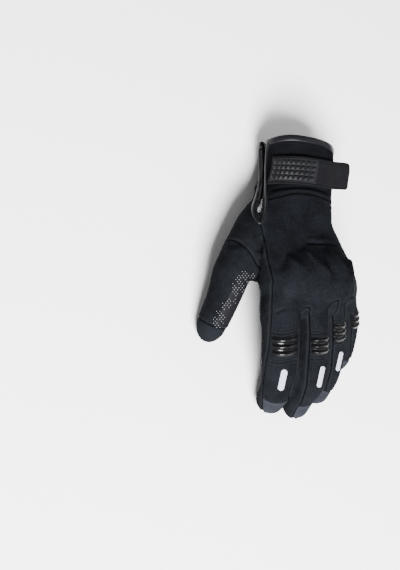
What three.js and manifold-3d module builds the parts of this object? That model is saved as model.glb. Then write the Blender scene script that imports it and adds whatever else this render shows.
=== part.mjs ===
import * as THREE from "three";
import { mergeVertices } from "three/addons/utils/BufferGeometryUtils.js";
import Module from "manifold-3d";

const wasm = await Module();
wasm.setup();

// A left glove, filled as if worn, lying palm down: fingers toward -Y, thumb toward -X, in millimetres.
const WALL = 2.0;
const SPACE = 0.3;
const TRIM = 0.9;
const CENTRE_X = 12.4;
const CENTRE_Y = 1.6;

// Each tube runs through these sections. half is measured across, thick upward, roll lowers the +X side.
const HAND = [
  { x: 25.4, y: 134, z: 24, half: 33, thick: 24.5, roll: 0 },
  { x: 25.4, y: 110.8, z: 24, half: 33, thick: 24.5, roll: 0 },
  { x: 25.6, y: 93.7, z: 24, half: 33, thick: 24.5, roll: 0 },
  { x: 22.9, y: 81.3, z: 24.5, half: 33.5, thick: 24, roll: 0 },
  { x: 19, y: 68.5, z: 27.5, half: 35.5, thick: 22.5, roll: 0 },
  { x: 16.3, y: 55.9, z: 30.5, half: 37.5, thick: 21.5, roll: 1 },
  { x: 14.5, y: 45.2, z: 33, half: 39, thick: 21, roll: 2 },
  { x: 16.2, y: 31.4, z: 36.5, half: 43, thick: 21, roll: 3 },
  { x: 20.2, y: 14.3, z: 41, half: 48, thick: 21.5, roll: 5 },
  { x: 22.4, y: -2.6, z: 44.5, half: 51.3, thick: 21.5, roll: 8 },
  { x: 22.6, y: -15.9, z: 45.5, half: 50, thick: 21.3, roll: 9 },
  { x: 24.3, y: -26, z: 44.3, half: 47, thick: 19.3, roll: 10 },
  { x: 26, y: -36, z: 41, half: 0, thick: 0, roll: 12 },
];

const FINGERS = {
  index: [
    { x: -7.7, y: -8.6, z: 49, half: 16.2, thick: 15, roll: -4 },
    { x: -9.9, y: -25.9, z: 50.5, half: 16.2, thick: 15, roll: -8 },
    { x: -7.8, y: -44.2, z: 48, half: 15.5, thick: 14.3, roll: -12 },
    { x: -4.3, y: -61.4, z: 43, half: 15.3, thick: 14, roll: -12 },
    { x: 0.8, y: -76.9, z: 35, half: 14.4, thick: 13, roll: -12 },
    { x: 4.6, y: -89.5, z: 25.5, half: 13.4, thick: 12, roll: -10 },
    { x: 6.6, y: -99.5, z: 12.6, half: 12.2, thick: 10.6, roll: -8 },
    { x: 6.8, y: -108.5, z: 6.5, half: 0, thick: 0, roll: -8 },
  ],
  middle: [
    { x: 16.3, y: -6.5, z: 48, half: 15.4, thick: 14.5, roll: 3 },
    { x: 23.3, y: -23.4, z: 48.5, half: 15, thick: 14.5, roll: 4 },
    { x: 24.4, y: -42, z: 46, half: 13.5, thick: 14, roll: 5 },
    { x: 27.7, y: -59.5, z: 41.5, half: 13.6, thick: 13.6, roll: 5 },
    { x: 30.1, y: -75.5, z: 36, half: 13.8, thick: 13, roll: 5 },
    { x: 32, y: -89, z: 28, half: 13.3, thick: 12.3, roll: 5 },
    { x: 33.4, y: -100, z: 13, half: 12, thick: 10.8, roll: 5 },
    { x: 32, y: -112.3, z: 6.5, half: 0, thick: 0, roll: 5 },
  ],
  ring: [
    { x: 37.2, y: -2.9, z: 44, half: 15, thick: 14, roll: 10 },
    { x: 45.9, y: -19.6, z: 42.3, half: 13.3, thick: 13.8, roll: 12 },
    { x: 48.8, y: -35.8, z: 38.4, half: 12.2, thick: 12.8, roll: 14 },
    { x: 53, y: -51.7, z: 32.0, half: 12.3, thick: 12.6, roll: 15 },
    { x: 56, y: -65.3, z: 26, half: 12.6, thick: 12.5, roll: 15 },
    { x: 57.6, y: -79, z: 17.5, half: 12.3, thick: 11.6, roll: 15 },
    { x: 55.5, y: -88.9, z: 10, half: 11.6, thick: 10.2, roll: 12 },
    { x: 51, y: -100, z: 8, half: 0, thick: 0, roll: 10 },
  ],
  pinky: [
    { x: 54.5, y: -0.9, z: 39, half: 12.5, thick: 12.5, roll: 18 },
    { x: 64.4, y: -15, z: 35.5, half: 11.6, thick: 11.8, roll: 20 },
    { x: 70.8, y: -29.3, z: 30, half: 10.8, thick: 11, roll: 22 },
    { x: 74.6, y: -43, z: 24, half: 10.7, thick: 10.6, roll: 22 },
    { x: 77.2, y: -53.4, z: 17, half: 10.6, thick: 10.2, roll: 20 },
    { x: 76.8, y: -62, z: 11, half: 9.8, thick: 9.6, roll: 16 },
    { x: 71, y: -73, z: 8, half: 0, thick: 0, roll: 12 },
  ],
};

const THUMB = [
  { x: -5, y: 58.8, z: 29, half: 14, thick: 13, roll: 0 },
  { x: -18.4, y: 42.3, z: 30.5, half: 16, thick: 16, roll: 0 },
  { x: -32.8, y: 19.1, z: 32, half: 16.6, thick: 16.8, roll: 0 },
  { x: -42.3, y: 0.5, z: 30, half: 15, thick: 15.2, roll: 0 },
  { x: -48.4, y: -22.1, z: 23.5, half: 12.8, thick: 13, roll: 0 },
  { x: -51.6, y: -39.4, z: 14.2, half: 11.9, thick: 11.9, roll: 0 },
  { x: -54.6, y: -54.2, z: 7, half: 0, thick: 0, roll: 0 },
];

// The web between the thumb and the index finger.
const WEB = [
  { x: -16, y: 26, z: 34, half: 20, thick: 11, roll: 0 },
  { x: -24, y: 8, z: 34.5, half: 14, thick: 9.5, roll: 0 },
  { x: -28.5, y: -5, z: 34, half: 0, thick: 0, roll: 0 },
];

// Padding sewn in over the knuckles, as soft swellings of the back of the hand.
const PADS = [
  { y: 3, across: 2, long: 20, wide: 34, rise: 2.0 },
  { y: 5, across: -25, long: 16, wide: 7, rise: 3.5 },
  { y: 4, across: -8, long: 16, wide: 7, rise: 4.5 },
  { y: 2, across: 9, long: 16, wide: 7, rise: 4.5 },
  { y: -3, across: 27, long: 14, wide: 8, rise: 4.5 },
];

const RIM_LINE = [
  [-40, 110],
  [-12, 113.5],
  [1, 117],
  [21, 116.7],
  [40, 115],
  [58, 112],
  [90, 106],
];
const WRIST_LINE = [
  [-40, 56],
  [-12, 63],
  [2, 67],
  [14, 68.3],
  [28, 68],
  [42, 66],
  [54, 63],
  [90, 54],
];
const PALM_CUFF_Y = 80;
const SPLIT_Z = 24;

// The slit on the thumb side, as points on the skin with its half width; it ends in a keyhole vent.
const SLIT = [
  { x: -8.3, y: 125.4, z: 24, half: 1.2 },
  { x: -8.7, y: 106.6, z: 24, half: 1.0 },
  { x: -9.9, y: 77.6, z: 25, half: 0.8 },
  { x: -13.3, y: 69.1, z: 28.5, half: 0.8 },
  { x: -16.3, y: 61.6, z: 31.5, half: 1.4 },
  { x: -19.2, y: 55, z: 34, half: 1.8 },
  { x: -20.5, y: 48.7, z: 36.4, half: 1.1 },
  { x: -21.3, y: 44.2, z: 38.2, half: 0.2 },
];
const SLIT_BAND = 2.6;

const strips = {
  index: { root: 1.75, half: 12.3, low: 3, cap: 5.45 },
  middle: { root: 1.75, half: 10.8, low: 3, cap: 5.65 },
  ring: { root: 1.5, half: 10, low: 3, cap: 5.5 },
  pinky: { root: 1.3, half: 8.8, low: 2.5, cap: 4.6 },
};
const ribbed = {
  index: { from: 2.16, to: 3.06, half: 12.2 },
  middle: { from: 2.22, to: 3.06, half: 10.6 },
  ring: { from: 1.78, to: 2.74, half: 8.8 },
  pinky: { from: 1.45, to: 2.45, half: 7.6 },
};
const RIDGE = 1.5;
const bars = {
  index: { from: 3.5, to: 4.75, wide: 5.6, across: -2.8, slant: -4 },
  middle: { from: 3.5, to: 4.75, wide: 4.6, across: 0.8, slant: -5 },
  ring: { from: 3.2, to: 4.5, wide: 4.4, across: 0.8, slant: -5 },
};

const cubic = (a, b, c, d, f) =>
  b + 0.5 * f * (c - a + f * (2 * a - 5 * b + 4 * c - d + f * (3 * (b - c) + d - a)));

function column(rows, key, t, count = rows.length) {
  const last = count - 1;
  const i = Math.min(Math.max(Math.floor(t), 0), last - 1);
  const pick = (k) => rows[Math.min(Math.max(k, 0), last)][key];
  return cubic(pick(i - 1), pick(i), pick(i + 1), pick(i + 2), Math.min(Math.max(t - i, 0), 1));
}

// The place and the directions of a tube at t, counted in rows; past its last row it runs straight on.
function section(rows, t, turn = 0) {
  const end = rows.length - 1;
  const at = (s) =>
    new THREE.Vector3(column(rows, "x", s), column(rows, "y", s), column(rows, "z", s));
  const inside = Math.min(Math.max(t, 0), end);
  const low = Math.max(inside - 0.25, 0);
  const high = Math.min(inside + 0.25, end);
  const along = rows === HAND ? new THREE.Vector3(0, -1, 0) : at(high).sub(at(low)).normalize();
  const step = at(end).distanceTo(at(end - 1));
  const point = at(inside).addScaledVector(along, (t - inside) * step);
  const level = new THREE.Vector3(0, 0, 1).cross(along).normalize();
  const rise = along.clone().cross(level);
  const roll = THREE.MathUtils.degToRad(column(rows, "roll", inside) + turn);
  const side = level.clone().multiplyScalar(Math.cos(roll));
  side.addScaledVector(rise, -Math.sin(roll));
  const up = rise.multiplyScalar(Math.cos(roll)).addScaledVector(level, Math.sin(roll));
  const size = Math.min(inside, end - 1);
  return {
    point,
    along,
    side,
    up,
    half: column(rows, "half", size, rows.length - 1),
    thick: column(rows, "thick", size, rows.length - 1),
  };
}

function solid(points, faces) {
  let volume = 0;
  for (const [i, j, k] of faces)
    volume += points[i].dot(points[j].clone().cross(points[k]));
  const ordered = volume < 0 ? faces.map(([i, j, k]) => [i, k, j]) : faces;
  return new wasm.Manifold(
    new wasm.Mesh({
      numProp: 3,
      vertProperties: new Float32Array(points.flatMap((p) => [p.x, p.y, p.z])),
      triVerts: new Uint32Array(ordered.flat()),
    }),
  );
}

// Rings of equal length joined into a closed skin, with a point in the middle of each end.
function skin(rings) {
  const sides = rings[0].length;
  const points = rings.flat();
  const faces = [];
  for (let r = 0; r + 1 < rings.length; r++)
    for (let k = 0; k < sides; k++) {
      const a = r * sides + k;
      const b = r * sides + ((k + 1) % sides);
      faces.push([a, b, b + sides], [a, b + sides, a + sides]);
    }
  for (const [ring, flip] of [[0, true], [rings.length - 1, false]]) {
    const middle = new THREE.Vector3();
    rings[ring].forEach((p) => middle.addScaledVector(p, 1 / sides));
    points.push(middle);
    for (let k = 0; k < sides; k++) {
      const a = ring * sides + k;
      const b = ring * sides + ((k + 1) % sides);
      faces.push(flip ? [b, a, points.length - 1] : [a, b, points.length - 1]);
    }
  }
  return solid(points, faces);
}

function padding(y, across) {
  let rise = 0;
  for (const pad of PADS)
    rise += pad.rise * Math.exp(-(((y - pad.y) / pad.long) ** 2) - ((across - pad.across) / pad.wide) ** 2);
  return rise;
}

// A tube through the rows, grown by offset, with a round end.
function tube(rows, offset, { rings = 18, sides = 18, dome = 3, padded = false } = {}) {
  const last = rows.length - 2;
  const ring = (s, half, thick, point) =>
    Array.from({ length: sides }, (_, k) => {
      const angle = (2 * Math.PI * k) / sides;
      const c = Math.cos(angle);
      const z = Math.sin(angle);
      const across = half * Math.sign(c) * Math.abs(c) ** 0.88;
      let lift = thick * Math.sign(z) * Math.abs(z) ** 0.88;
      if (padded && z > 0.05) lift += padding(point.y, across) * Math.min(1, z * 2);
      return point.clone().addScaledVector(s.side, across).addScaledVector(s.up, lift);
    });
  const skins = [];
  for (let i = 0; i < rings; i++) {
    const s = section(rows, (last * i) / (rings - 1));
    skins.push(ring(s, s.half + offset, s.thick + offset, s.point));
  }
  const start = section(rows, last);
  const end = section(rows, last + 1);
  const way = end.point.clone().sub(start.point);
  const reach = (way.length() + offset) / way.length();
  for (let i = 1; i <= dome; i++) {
    const angle = (0.97 * Math.PI * i) / (2 * dome);
    const point = start.point.clone().addScaledVector(way, reach * Math.sin(angle));
    const size = Math.cos(angle);
    skins.push(ring(start, size * (start.half + offset), size * (start.thick + offset), point));
  }
  return skin(skins);
}

// A solid that follows a tube: at every section a box from left to right and from low to high.
function wedge(rows, { from, to, left, right, low, high, turn = 0 }, grow = 0) {
  const count = Math.max(2, Math.ceil((to - from) / 0.8) + 1);
  const rings = Array.from({ length: count }, (_, i) => {
    const s = section(rows, from + ((to - from) * i) / (count - 1), turn);
    if (i === 0) s.point.addScaledVector(s.along, -grow);
    if (i === count - 1) s.point.addScaledVector(s.along, grow);
    const edge = typeof left === "function" ? left(s) : left;
    return [
      [edge - grow, low - grow],
      [right + grow, low - grow],
      [right + grow, high],
      [edge - grow, high],
    ].map(([a, b]) => s.point.clone().addScaledVector(s.side, a).addScaledVector(s.up, b));
  });
  return skin(rings);
}

// A straight box that starts at one section of a tube and runs ahead of it.
function block(rows, t, { ahead, left, right, low, high, turn = 0 }, grow = 0) {
  const s = section(rows, t, turn);
  const rings = [-grow, ahead].map((run) =>
    [
      [left - grow, low - grow],
      [right + grow, low - grow],
      [right + grow, high],
      [left - grow, high],
    ].map(([a, b]) =>
      s.point.clone().addScaledVector(s.along, run).addScaledVector(s.side, a).addScaledVector(s.up, b),
    ),
  );
  return skin(rings);
}

function fromGeometry(made) {
  const bare = made.index ? made.toNonIndexed() : made;
  bare.deleteAttribute("normal");
  bare.deleteAttribute("uv");
  const joined = mergeVertices(bare, 1e-4);
  return new wasm.Manifold(
    new wasm.Mesh({
      numProp: 3,
      vertProperties: joined.attributes.position.array,
      triVerts: new Uint32Array(joined.index.array),
    }),
  );
}

// A flat outline in X and Y, raised from low to high.
function slab(outline, low, high) {
  const shape = new THREE.Shape(outline.map(([x, y]) => new THREE.Vector2(x, y)));
  const made = new THREE.ExtrudeGeometry(shape, { depth: high - low, bevelEnabled: false });
  return fromGeometry(made.translate(0, 0, low));
}

const beyond = (line, shift) => [
  ...line.map(([x, y]) => [x, y + shift]),
  [150, 180],
  [-100, 180],
];

const union = (parts) => parts.reduce((a, b) => a.add(b));

const ABOVE_FLOOR = (height) =>
  slab([[-200, -250], [250, -250], [250, 250], [-200, 250]], height, 200);

// The whole glove as one solid, grown by offset. A coarse one is enough for the inside.
function form(offset, coarse = false) {
  const hand = coarse ? { rings: 10, sides: 14 } : { rings: 18, sides: 26 };
  const finger = coarse ? { rings: 6, sides: 8, dome: 1 } : { rings: 8, sides: 14, dome: 2 };
  const thumb = coarse ? { rings: 5, sides: 8, dome: 1 } : { rings: 8, sides: 14, dome: 2 };
  const tubes = [
    tube(HAND, offset, { ...hand, padded: true }),
    tube(THUMB, offset, thumb),
    tube(WEB, offset, { rings: 3, sides: 12, dome: 2 }),
    ...Object.values(FINGERS).map((rows) => tube(rows, offset, finger)),
  ];
  return union(tubes).intersect(ABOVE_FLOOR(Math.max(0, -offset)));
}

const outer = form(0);
const inner = form(-WALL, true);
const above = form(SPACE);
const trimTop = form(SPACE + TRIM);
const trimSkin = trimTop.subtract(above);

const biggest = (made) =>
  made.decompose().sort((a, b) => b.volume() - a.volume())[0];

// The slit runs square to a direction between up and the thumb side, and stops short of the far wall.
const SLIT_OUT = new THREE.Vector3(-0.57, -0.14, 0.81);
const SLIT_ACROSS = new THREE.Vector3(0.82, 0, 0.57);
function slitPrism(grow) {
  const rings = SLIT.map((p, i) => {
    const here = new THREE.Vector3(p.x, p.y + (i === SLIT.length - 1 ? -grow : 0), p.z);
    const wide = p.half + grow;
    return [[-wide, -9], [wide, -9], [wide, 16], [-wide, 16]].map(([a, b]) =>
      here.clone().addScaledVector(SLIT_ACROSS, a).addScaledVector(SLIT_OUT, b),
    );
  });
  return skin(rings);
}

// Cloth shell, cut at the rim and along the slit.
const rim = (shift) => slab(beyond(RIM_LINE, shift), -20, 90);
const shell = outer
  .subtract(inner)
  .subtract(rim(-4.6 - SPACE))
  .subtract(slitPrism(SLIT_BAND + SPACE));

const cuffBackKnife = (grow) => slab(beyond(WRIST_LINE, -grow), SPLIT_Z - grow + SPACE, 90);
const cuffPalmKnife = (grow) =>
  slab([[-80, PALM_CUFF_Y - grow], [120, PALM_CUFF_Y - grow], [120, 180], [-80, 180]], -20, SPLIT_Z);

const plane = [
  [-90, 75.5],
  [-51, 30],
  [-21, -5],
  [19, -51.7],
];
const thumbSide = (grow) => slab([...plane.map(([x, y]) => [x + grow, y + grow]), [-150, -120]], -20, 90);
const thumbKnife = (grow) => tube(THUMB, 1.5 + grow, { rings: 11, sides: 20 }).intersect(thumbSide(grow));

const capBox = { ahead: 45, left: -20, right: 20, low: -2, high: 35 };
const around = (rows, grow) => tube(rows, 2 + grow, { rings: 9, sides: 14 });
const capKnife = (name, grow) =>
  block(FINGERS[name], strips[name].cap, capBox, grow).intersect(around(FINGERS[name], grow));
const thumbCapKnife = (grow) => block(THUMB, 4.6, { ...capBox, turn: -38 }, grow);

// The part of a finger that lies ahead of its root, where it is free of the others.
const sleeveKnife = (name, grow) =>
  wedge(
    FINGERS[name],
    { from: strips[name].root, to: 7, left: -19, right: 19, low: -26, high: 26 },
    grow,
  ).intersect(tube(FINGERS[name], 1 + grow, { rings: 9, sides: 14 }));

const backKnife = (grow) =>
  union([
    wedge(HAND, { from: 2.5, to: 10.9, left: (s) => 3.2 - s.half, right: 60, low: 5.5, high: 45 }, grow),
    ...Object.entries(strips).map(([name, strip]) =>
      wedge(
        FINGERS[name],
        { from: 0.3, to: strip.cap - 0.02, left: -strip.half, right: strip.half, low: strip.low, high: 26 },
        grow,
      ),
    ),
  ]);

const cuffs = cuffBackKnife(SPACE).add(cuffPalmKnife(SPACE));
const hand = shell.subtract(cuffs);
const thumb = hand.intersect(thumbKnife(0));
const rest = hand.subtract(thumbKnife(SPACE));
const nodes = {};
nodes.back_panel = rest.intersect(backKnife(0));
nodes.palm_panel = rest.subtract(backKnife(SPACE));
for (const name of Object.keys(FINGERS)) {
  nodes[name + "_tip"] = nodes.palm_panel.intersect(capKnife(name, 0));
  nodes.palm_panel = nodes.palm_panel.subtract(capKnife(name, SPACE));
  nodes[name + "_sleeve"] = nodes.palm_panel.intersect(sleeveKnife(name, 0));
  nodes.palm_panel = nodes.palm_panel.subtract(sleeveKnife(name, SPACE));
  nodes[name + "_back"] = nodes.back_panel.intersect(sleeveKnife(name, 0));
  nodes.back_panel = nodes.back_panel.subtract(sleeveKnife(name, SPACE));
}
nodes.thumb_tip = thumb.intersect(thumbCapKnife(0));
nodes.thumb_panel = thumb.subtract(thumbCapKnife(SPACE));
nodes.cuff_back = shell.intersect(cuffBackKnife(0));
nodes.cuff_palm = shell.intersect(cuffPalmKnife(0)).subtract(cuffBackKnife(SPACE));

// Bound edges, thicker than the cloth on both sides.
const thick = form(TRIM).subtract(form(-WALL - TRIM, true));
nodes.cuff_binding = thick
  .subtract(rim(0))
  .intersect(rim(-4.6))
  .subtract(slitPrism(SLIT_BAND + SPACE));
nodes.vent_binding = thick
  .subtract(rim(0))
  .intersect(slitPrism(SLIT_BAND))
  .subtract(slitPrism(0));

// Ridged flex panels: a skin whose height swings three times over its length.
function ribs(name) {
  const { from, to, half } = ribbed[name];
  const rows = FINGERS[name];
  const steps = 14;
  const rings = Array.from({ length: steps + 1 }, (_, i) => {
    const f = i / steps;
    const s = section(rows, from + (to - from) * f);
    const wave = i === 0 || i === steps ? 0 : (1 - Math.cos(2 * Math.PI * (f * 7 - 0.5) * 0.5)) / 2;
    const lift = SPACE + 0.6 + RIDGE * wave;
    return Array.from({ length: 18 }, (_, k) => {
      const angle = (2 * Math.PI * k) / 18;
      const c = Math.cos(angle);
      const z = Math.sin(angle);
      const across = (s.half + lift) * Math.sign(c) * Math.abs(c) ** 0.88;
      const height = (s.thick + lift) * Math.sign(z) * Math.abs(z) ** 0.88;
      return s.point.clone().addScaledVector(s.side, across).addScaledVector(s.up, height);
    });
  });
  const box = { from: from - 0.02, to: to + 0.02, left: -half, right: half, low: 4, high: 26 };
  return skin(rings).subtract(above).intersect(wedge(rows, box));
}
for (const name of Object.keys(ribbed)) nodes[name + "_ribs"] = ribs(name);

// Slanted bars with round ends, cut from a thin skin over the fingers.
function bar(name) {
  const { from, to, wide, across, slant } = bars[name];
  const rows = FINGERS[name];
  const s = section(rows, (from + to) / 2);
  const length = section(rows, from).point.distanceTo(section(rows, to).point);
  const r = wide / 2;
  const shape = new THREE.Shape();
  shape.absarc(0, length / 2 - r, r, 0, Math.PI);
  shape.absarc(0, r - length / 2, r, Math.PI, 2 * Math.PI);
  const made = new THREE.ExtrudeGeometry(shape, { depth: 26, bevelEnabled: false, curveSegments: 4 });
  const tilt = THREE.MathUtils.degToRad(slant);
  const side = s.side.clone().applyAxisAngle(s.up, tilt);
  const back = s.along.clone().negate().applyAxisAngle(s.up, tilt);
  const turn = new THREE.Matrix4().makeBasis(side, back, s.up);
  turn.setPosition(s.point.clone().addScaledVector(s.side, across));
  return fromGeometry(made.applyMatrix4(turn)).intersect(trimSkin);
}
for (const name of Object.keys(bars)) nodes[name + "_reflector"] = bar(name);

// Thin patches laid over the shell.
const under = (rows, from, to, half, turn = 0) =>
  trimSkin
    .intersect(wedge(rows, { from, to, left: -half, right: half, low: -26, high: -3, turn }))
    .intersect(around(rows, 0));
nodes.index_touch_pad = under(FINGERS.index, 5.0, 7.2, 9.5);
nodes.middle_touch_pad = under(FINGERS.middle, 5.0, 7.2, 9.5);
nodes.thumb_touch_pad = under(THUMB, 3.6, 6.3, 9.5, -40);
const gripBox = { from: 2.8, to: 5.2, left: -12, right: 8, low: 4, high: 30, turn: 42 };
const gripStrip = (grow) => wedge(THUMB, gripBox, grow).intersect(around(THUMB, grow));
nodes.thumb_grip = trimSkin.intersect(gripStrip(0));
nodes.thumb_touch_pad = nodes.thumb_touch_pad.subtract(gripStrip(SPACE));

const fromPalm = ([x, y]) => [18 + (x - 147) * 0.98, y - 280];
const PATCH = [[152, 318], [184, 318], [174, 338], [160.5, 354], [157, 351.5]].map(fromPalm);
const GRIP = [
  [104, 247], [130, 250], [152, 254], [176, 262], [193, 272], [191, 300], [187, 316.5],
  [150, 316.5], [152, 341], [134, 333], [115, 319], [98, 303], [93, 291], [92, 276], [101, 262],
].map(fromPalm);
const crotch = (grow) => {
  const ring = Array.from({ length: 12 }, (_, k) => {
    const angle = (Math.PI * k) / 6;
    return [-16 + (8 + grow) * Math.cos(angle), -4 + (8.5 + grow) * Math.sin(angle)];
  });
  return slab(ring, -5, 36);
};
nodes.palm_grip = trimSkin
  .intersect(slab(GRIP, -5, 38))
  .subtract(around(THUMB, SPACE))
  .subtract(crotch(SPACE));
nodes.palm_patch = form(SPACE + 1.6)
  .subtract(above)
  .intersect(slab(PATCH, -5, 19));
nodes.thumb_crotch_patch = trimSkin.intersect(crotch(0)).subtract(around(THUMB, SPACE));

// A point over the cuff, at a height above it, an angle round it and a place along it.
function overCuff(lift, angle, y) {
  let low = 0;
  let high = 5;
  for (let i = 0; i < 24; i++) {
    const middle = (low + high) / 2;
    if (column(HAND, "y", middle) > y) low = middle;
    else high = middle;
  }
  const s = section(HAND, low);
  const c = Math.cos(angle);
  const x = (s.half + lift) * Math.sign(c) * Math.abs(c) ** 0.88;
  const z = (s.thick + lift) * Math.abs(Math.sin(angle)) ** 0.88;
  return new THREE.Vector3(s.point.x + x, y, s.point.z + z);
}

// The strap follows the back of the cuff, then leaves it as a flat tab.
const STRAP_FROM = 2.74;
const STRAP_LEAVE = 1.05;
const TAB = 30;
const TAB_LIFT = 3.6;
const STRAP_LOW = 75.8;
const STRAP_HIGH = 99.6;
function strapPoint(lift, f, across) {
  const angle = STRAP_FROM + (STRAP_LEAVE - STRAP_FROM) * Math.min(f, 1);
  const level = STRAP_LOW + (STRAP_HIGH - STRAP_LOW) * across;
  const point = overCuff(lift, angle, level);
  if (f <= 1) return point;
  const before = overCuff(lift, angle + 0.1, level);
  const way = point.clone().sub(before).normalize();
  const out = f - 1;
  const bend = new THREE.Vector3(0, TAB_LIFT * out, -1.5 * out * out);
  return point.addScaledVector(way, TAB * out).add(bend);
}
function band(lowLift, highLift) {
  const steps = [...Array.from({ length: 15 }, (_, i) => i / 14), 1.35, 1.7, 2];
  return skin(
    steps.map((f) => [
      ...[0, 0.33, 0.67, 1].map((across) => strapPoint(lowLift, f, across)),
      ...[1, 0.67, 0.33, 0].map((across) => strapPoint(highLift, f, across)),
    ]),
  );
}
const strapShape = (() => {
  const r = 4.5;
  const end = 70.6;
  const shape = new THREE.Shape();
  const low = STRAP_LOW + TAB_LIFT;
  const high = STRAP_HIGH + TAB_LIFT;
  shape.moveTo(-40, STRAP_LOW - 0.1);
  shape.lineTo(42, STRAP_LOW - 0.1);
  shape.lineTo(end - r, low - 0.3);
  shape.absarc(end - r, low + r, r, -Math.PI / 2, 0);
  shape.absarc(end - r, high - r, r, 0, Math.PI / 2);
  shape.lineTo(end - r, high + 0.1);
  shape.lineTo(-40, high + 0.1);
  const made = new THREE.ExtrudeGeometry(shape, { depth: 90, bevelEnabled: false, curveSegments: 4 });
  return fromGeometry(made);
})();
nodes.wrist_strap = band(SPACE + 0.4, SPACE + 2.4).intersect(strapShape).subtract(above);

// A sheet of small pyramids standing on the strap.
function studs() {
  const columns = 9;
  const lines = 4;
  const points = [];
  const faces = [];
  const spot = (lift, c, l) => strapPoint(lift, 0.03 + (0.66 * c) / columns, 0.14 + (0.74 * l) / lines);
  const grid = (lift) => {
    const start = points.length;
    for (let c = 0; c <= columns; c++)
      for (let l = 0; l <= lines; l++) points.push(spot(lift, c, l));
    return (c, l) => start + c * (lines + 1) + l;
  };
  const low = grid(SPACE + 2.4 + 0.4);
  const high = grid(SPACE + 2.4 + 1.3);
  for (let c = 0; c < columns; c++)
    for (let l = 0; l < lines; l++) {
      const apex = points.push(spot(SPACE + 2.4 + 3.0, c + 0.5, l + 0.5)) - 1;
      const ring = [high(c, l), high(c + 1, l), high(c + 1, l + 1), high(c, l + 1)];
      ring.forEach((p, i) => faces.push([p, ring[(i + 1) % 4], apex]));
      faces.push([low(c, l), low(c, l + 1), low(c + 1, l + 1)]);
      faces.push([low(c, l), low(c + 1, l + 1), low(c + 1, l)]);
    }
  const wall = (a, b, c, d) => faces.push([a, b, c], [a, c, d]);
  for (let c = 0; c < columns; c++) {
    wall(low(c, 0), low(c + 1, 0), high(c + 1, 0), high(c, 0));
    wall(low(c + 1, lines), low(c, lines), high(c, lines), high(c + 1, lines));
  }
  for (let l = 0; l < lines; l++) {
    wall(low(0, l + 1), low(0, l), high(0, l), high(0, l + 1));
    wall(low(columns, l), low(columns, l + 1), high(columns, l + 1), high(columns, l));
  }
  return solid(points, faces);
}
nodes.strap_grip_pad = studs();

const labelPlate = new THREE.BoxGeometry(9, 21, 0.9);
labelPlate.applyMatrix4(new THREE.Matrix4().makeRotationY(0.9));
labelPlate.translate(55.6, 53, 20);
nodes.side_label = fromGeometry(labelPlate).subtract(above);

const COLOURS = {
  panel: 0x24272c,
  suede: 0x3a3e44,
  cap: 0x5a5e68,
  rubber: 0x17181b,
  trim: 0x101114,
  pale: 0xcfd2dc,
};
const LOOK = {
  back_panel: "panel",
  cuff_back: "panel",
  cuff_palm: "panel",
  thumb_panel: "panel",
  wrist_strap: "panel",
  palm_panel: "suede",
  palm_grip: "suede",
  index_tip: "cap",
  middle_tip: "cap",
  ring_tip: "cap",
  pinky_tip: "cap",
  thumb_tip: "cap",
  strap_grip_pad: "rubber",
  palm_patch: "rubber",
  index_reflector: "pale",
  middle_reflector: "pale",
  ring_reflector: "pale",
};

const group = new THREE.Group();
for (const [name, made] of Object.entries(nodes)) {
  const { vertProperties, triVerts } = biggest(made).getMesh();
  const geometry = new THREE.BufferGeometry();
  geometry.setAttribute("position", new THREE.BufferAttribute(new Float32Array(vertProperties), 3));
  geometry.setIndex(new THREE.BufferAttribute(new Uint32Array(triVerts), 1));
  geometry.translate(-CENTRE_X, -CENTRE_Y, 0);
  geometry.computeVertexNormals();
  const look = LOOK[name] ?? "trim";
  const material = new THREE.MeshStandardMaterial({ color: COLOURS[look], roughness: 0.8 });
  const mesh = new THREE.Mesh(geometry, material);
  mesh.name = name;
  group.add(mesh);
}

export default group;
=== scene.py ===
import math
import bpy
import bmesh
import numpy as np
from mathutils import Matrix, Vector
from mathutils.bvhtree import BVHTree
from mathutils.kdtree import KDTree


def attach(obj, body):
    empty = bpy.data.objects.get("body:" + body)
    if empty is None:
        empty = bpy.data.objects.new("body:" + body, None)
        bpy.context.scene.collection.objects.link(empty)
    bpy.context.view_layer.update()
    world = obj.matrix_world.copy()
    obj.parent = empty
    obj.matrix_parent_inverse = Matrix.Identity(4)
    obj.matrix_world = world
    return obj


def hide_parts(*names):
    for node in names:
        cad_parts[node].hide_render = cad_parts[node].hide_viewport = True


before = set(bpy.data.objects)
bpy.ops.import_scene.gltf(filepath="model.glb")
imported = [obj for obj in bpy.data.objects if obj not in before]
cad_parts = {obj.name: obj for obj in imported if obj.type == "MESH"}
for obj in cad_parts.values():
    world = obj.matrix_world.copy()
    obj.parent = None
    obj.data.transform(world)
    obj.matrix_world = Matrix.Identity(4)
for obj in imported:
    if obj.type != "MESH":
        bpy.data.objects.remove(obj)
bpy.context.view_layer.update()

# Lengths are millimetres in the glove's own lay until a piece is finished; then they become metres.
layCentre = np.array([12.4, 1.6, 0.0])
toMetres = 0.001
roundness = 0.88  # of a tube's section: 1 is an ellipse, less is squarer

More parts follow.
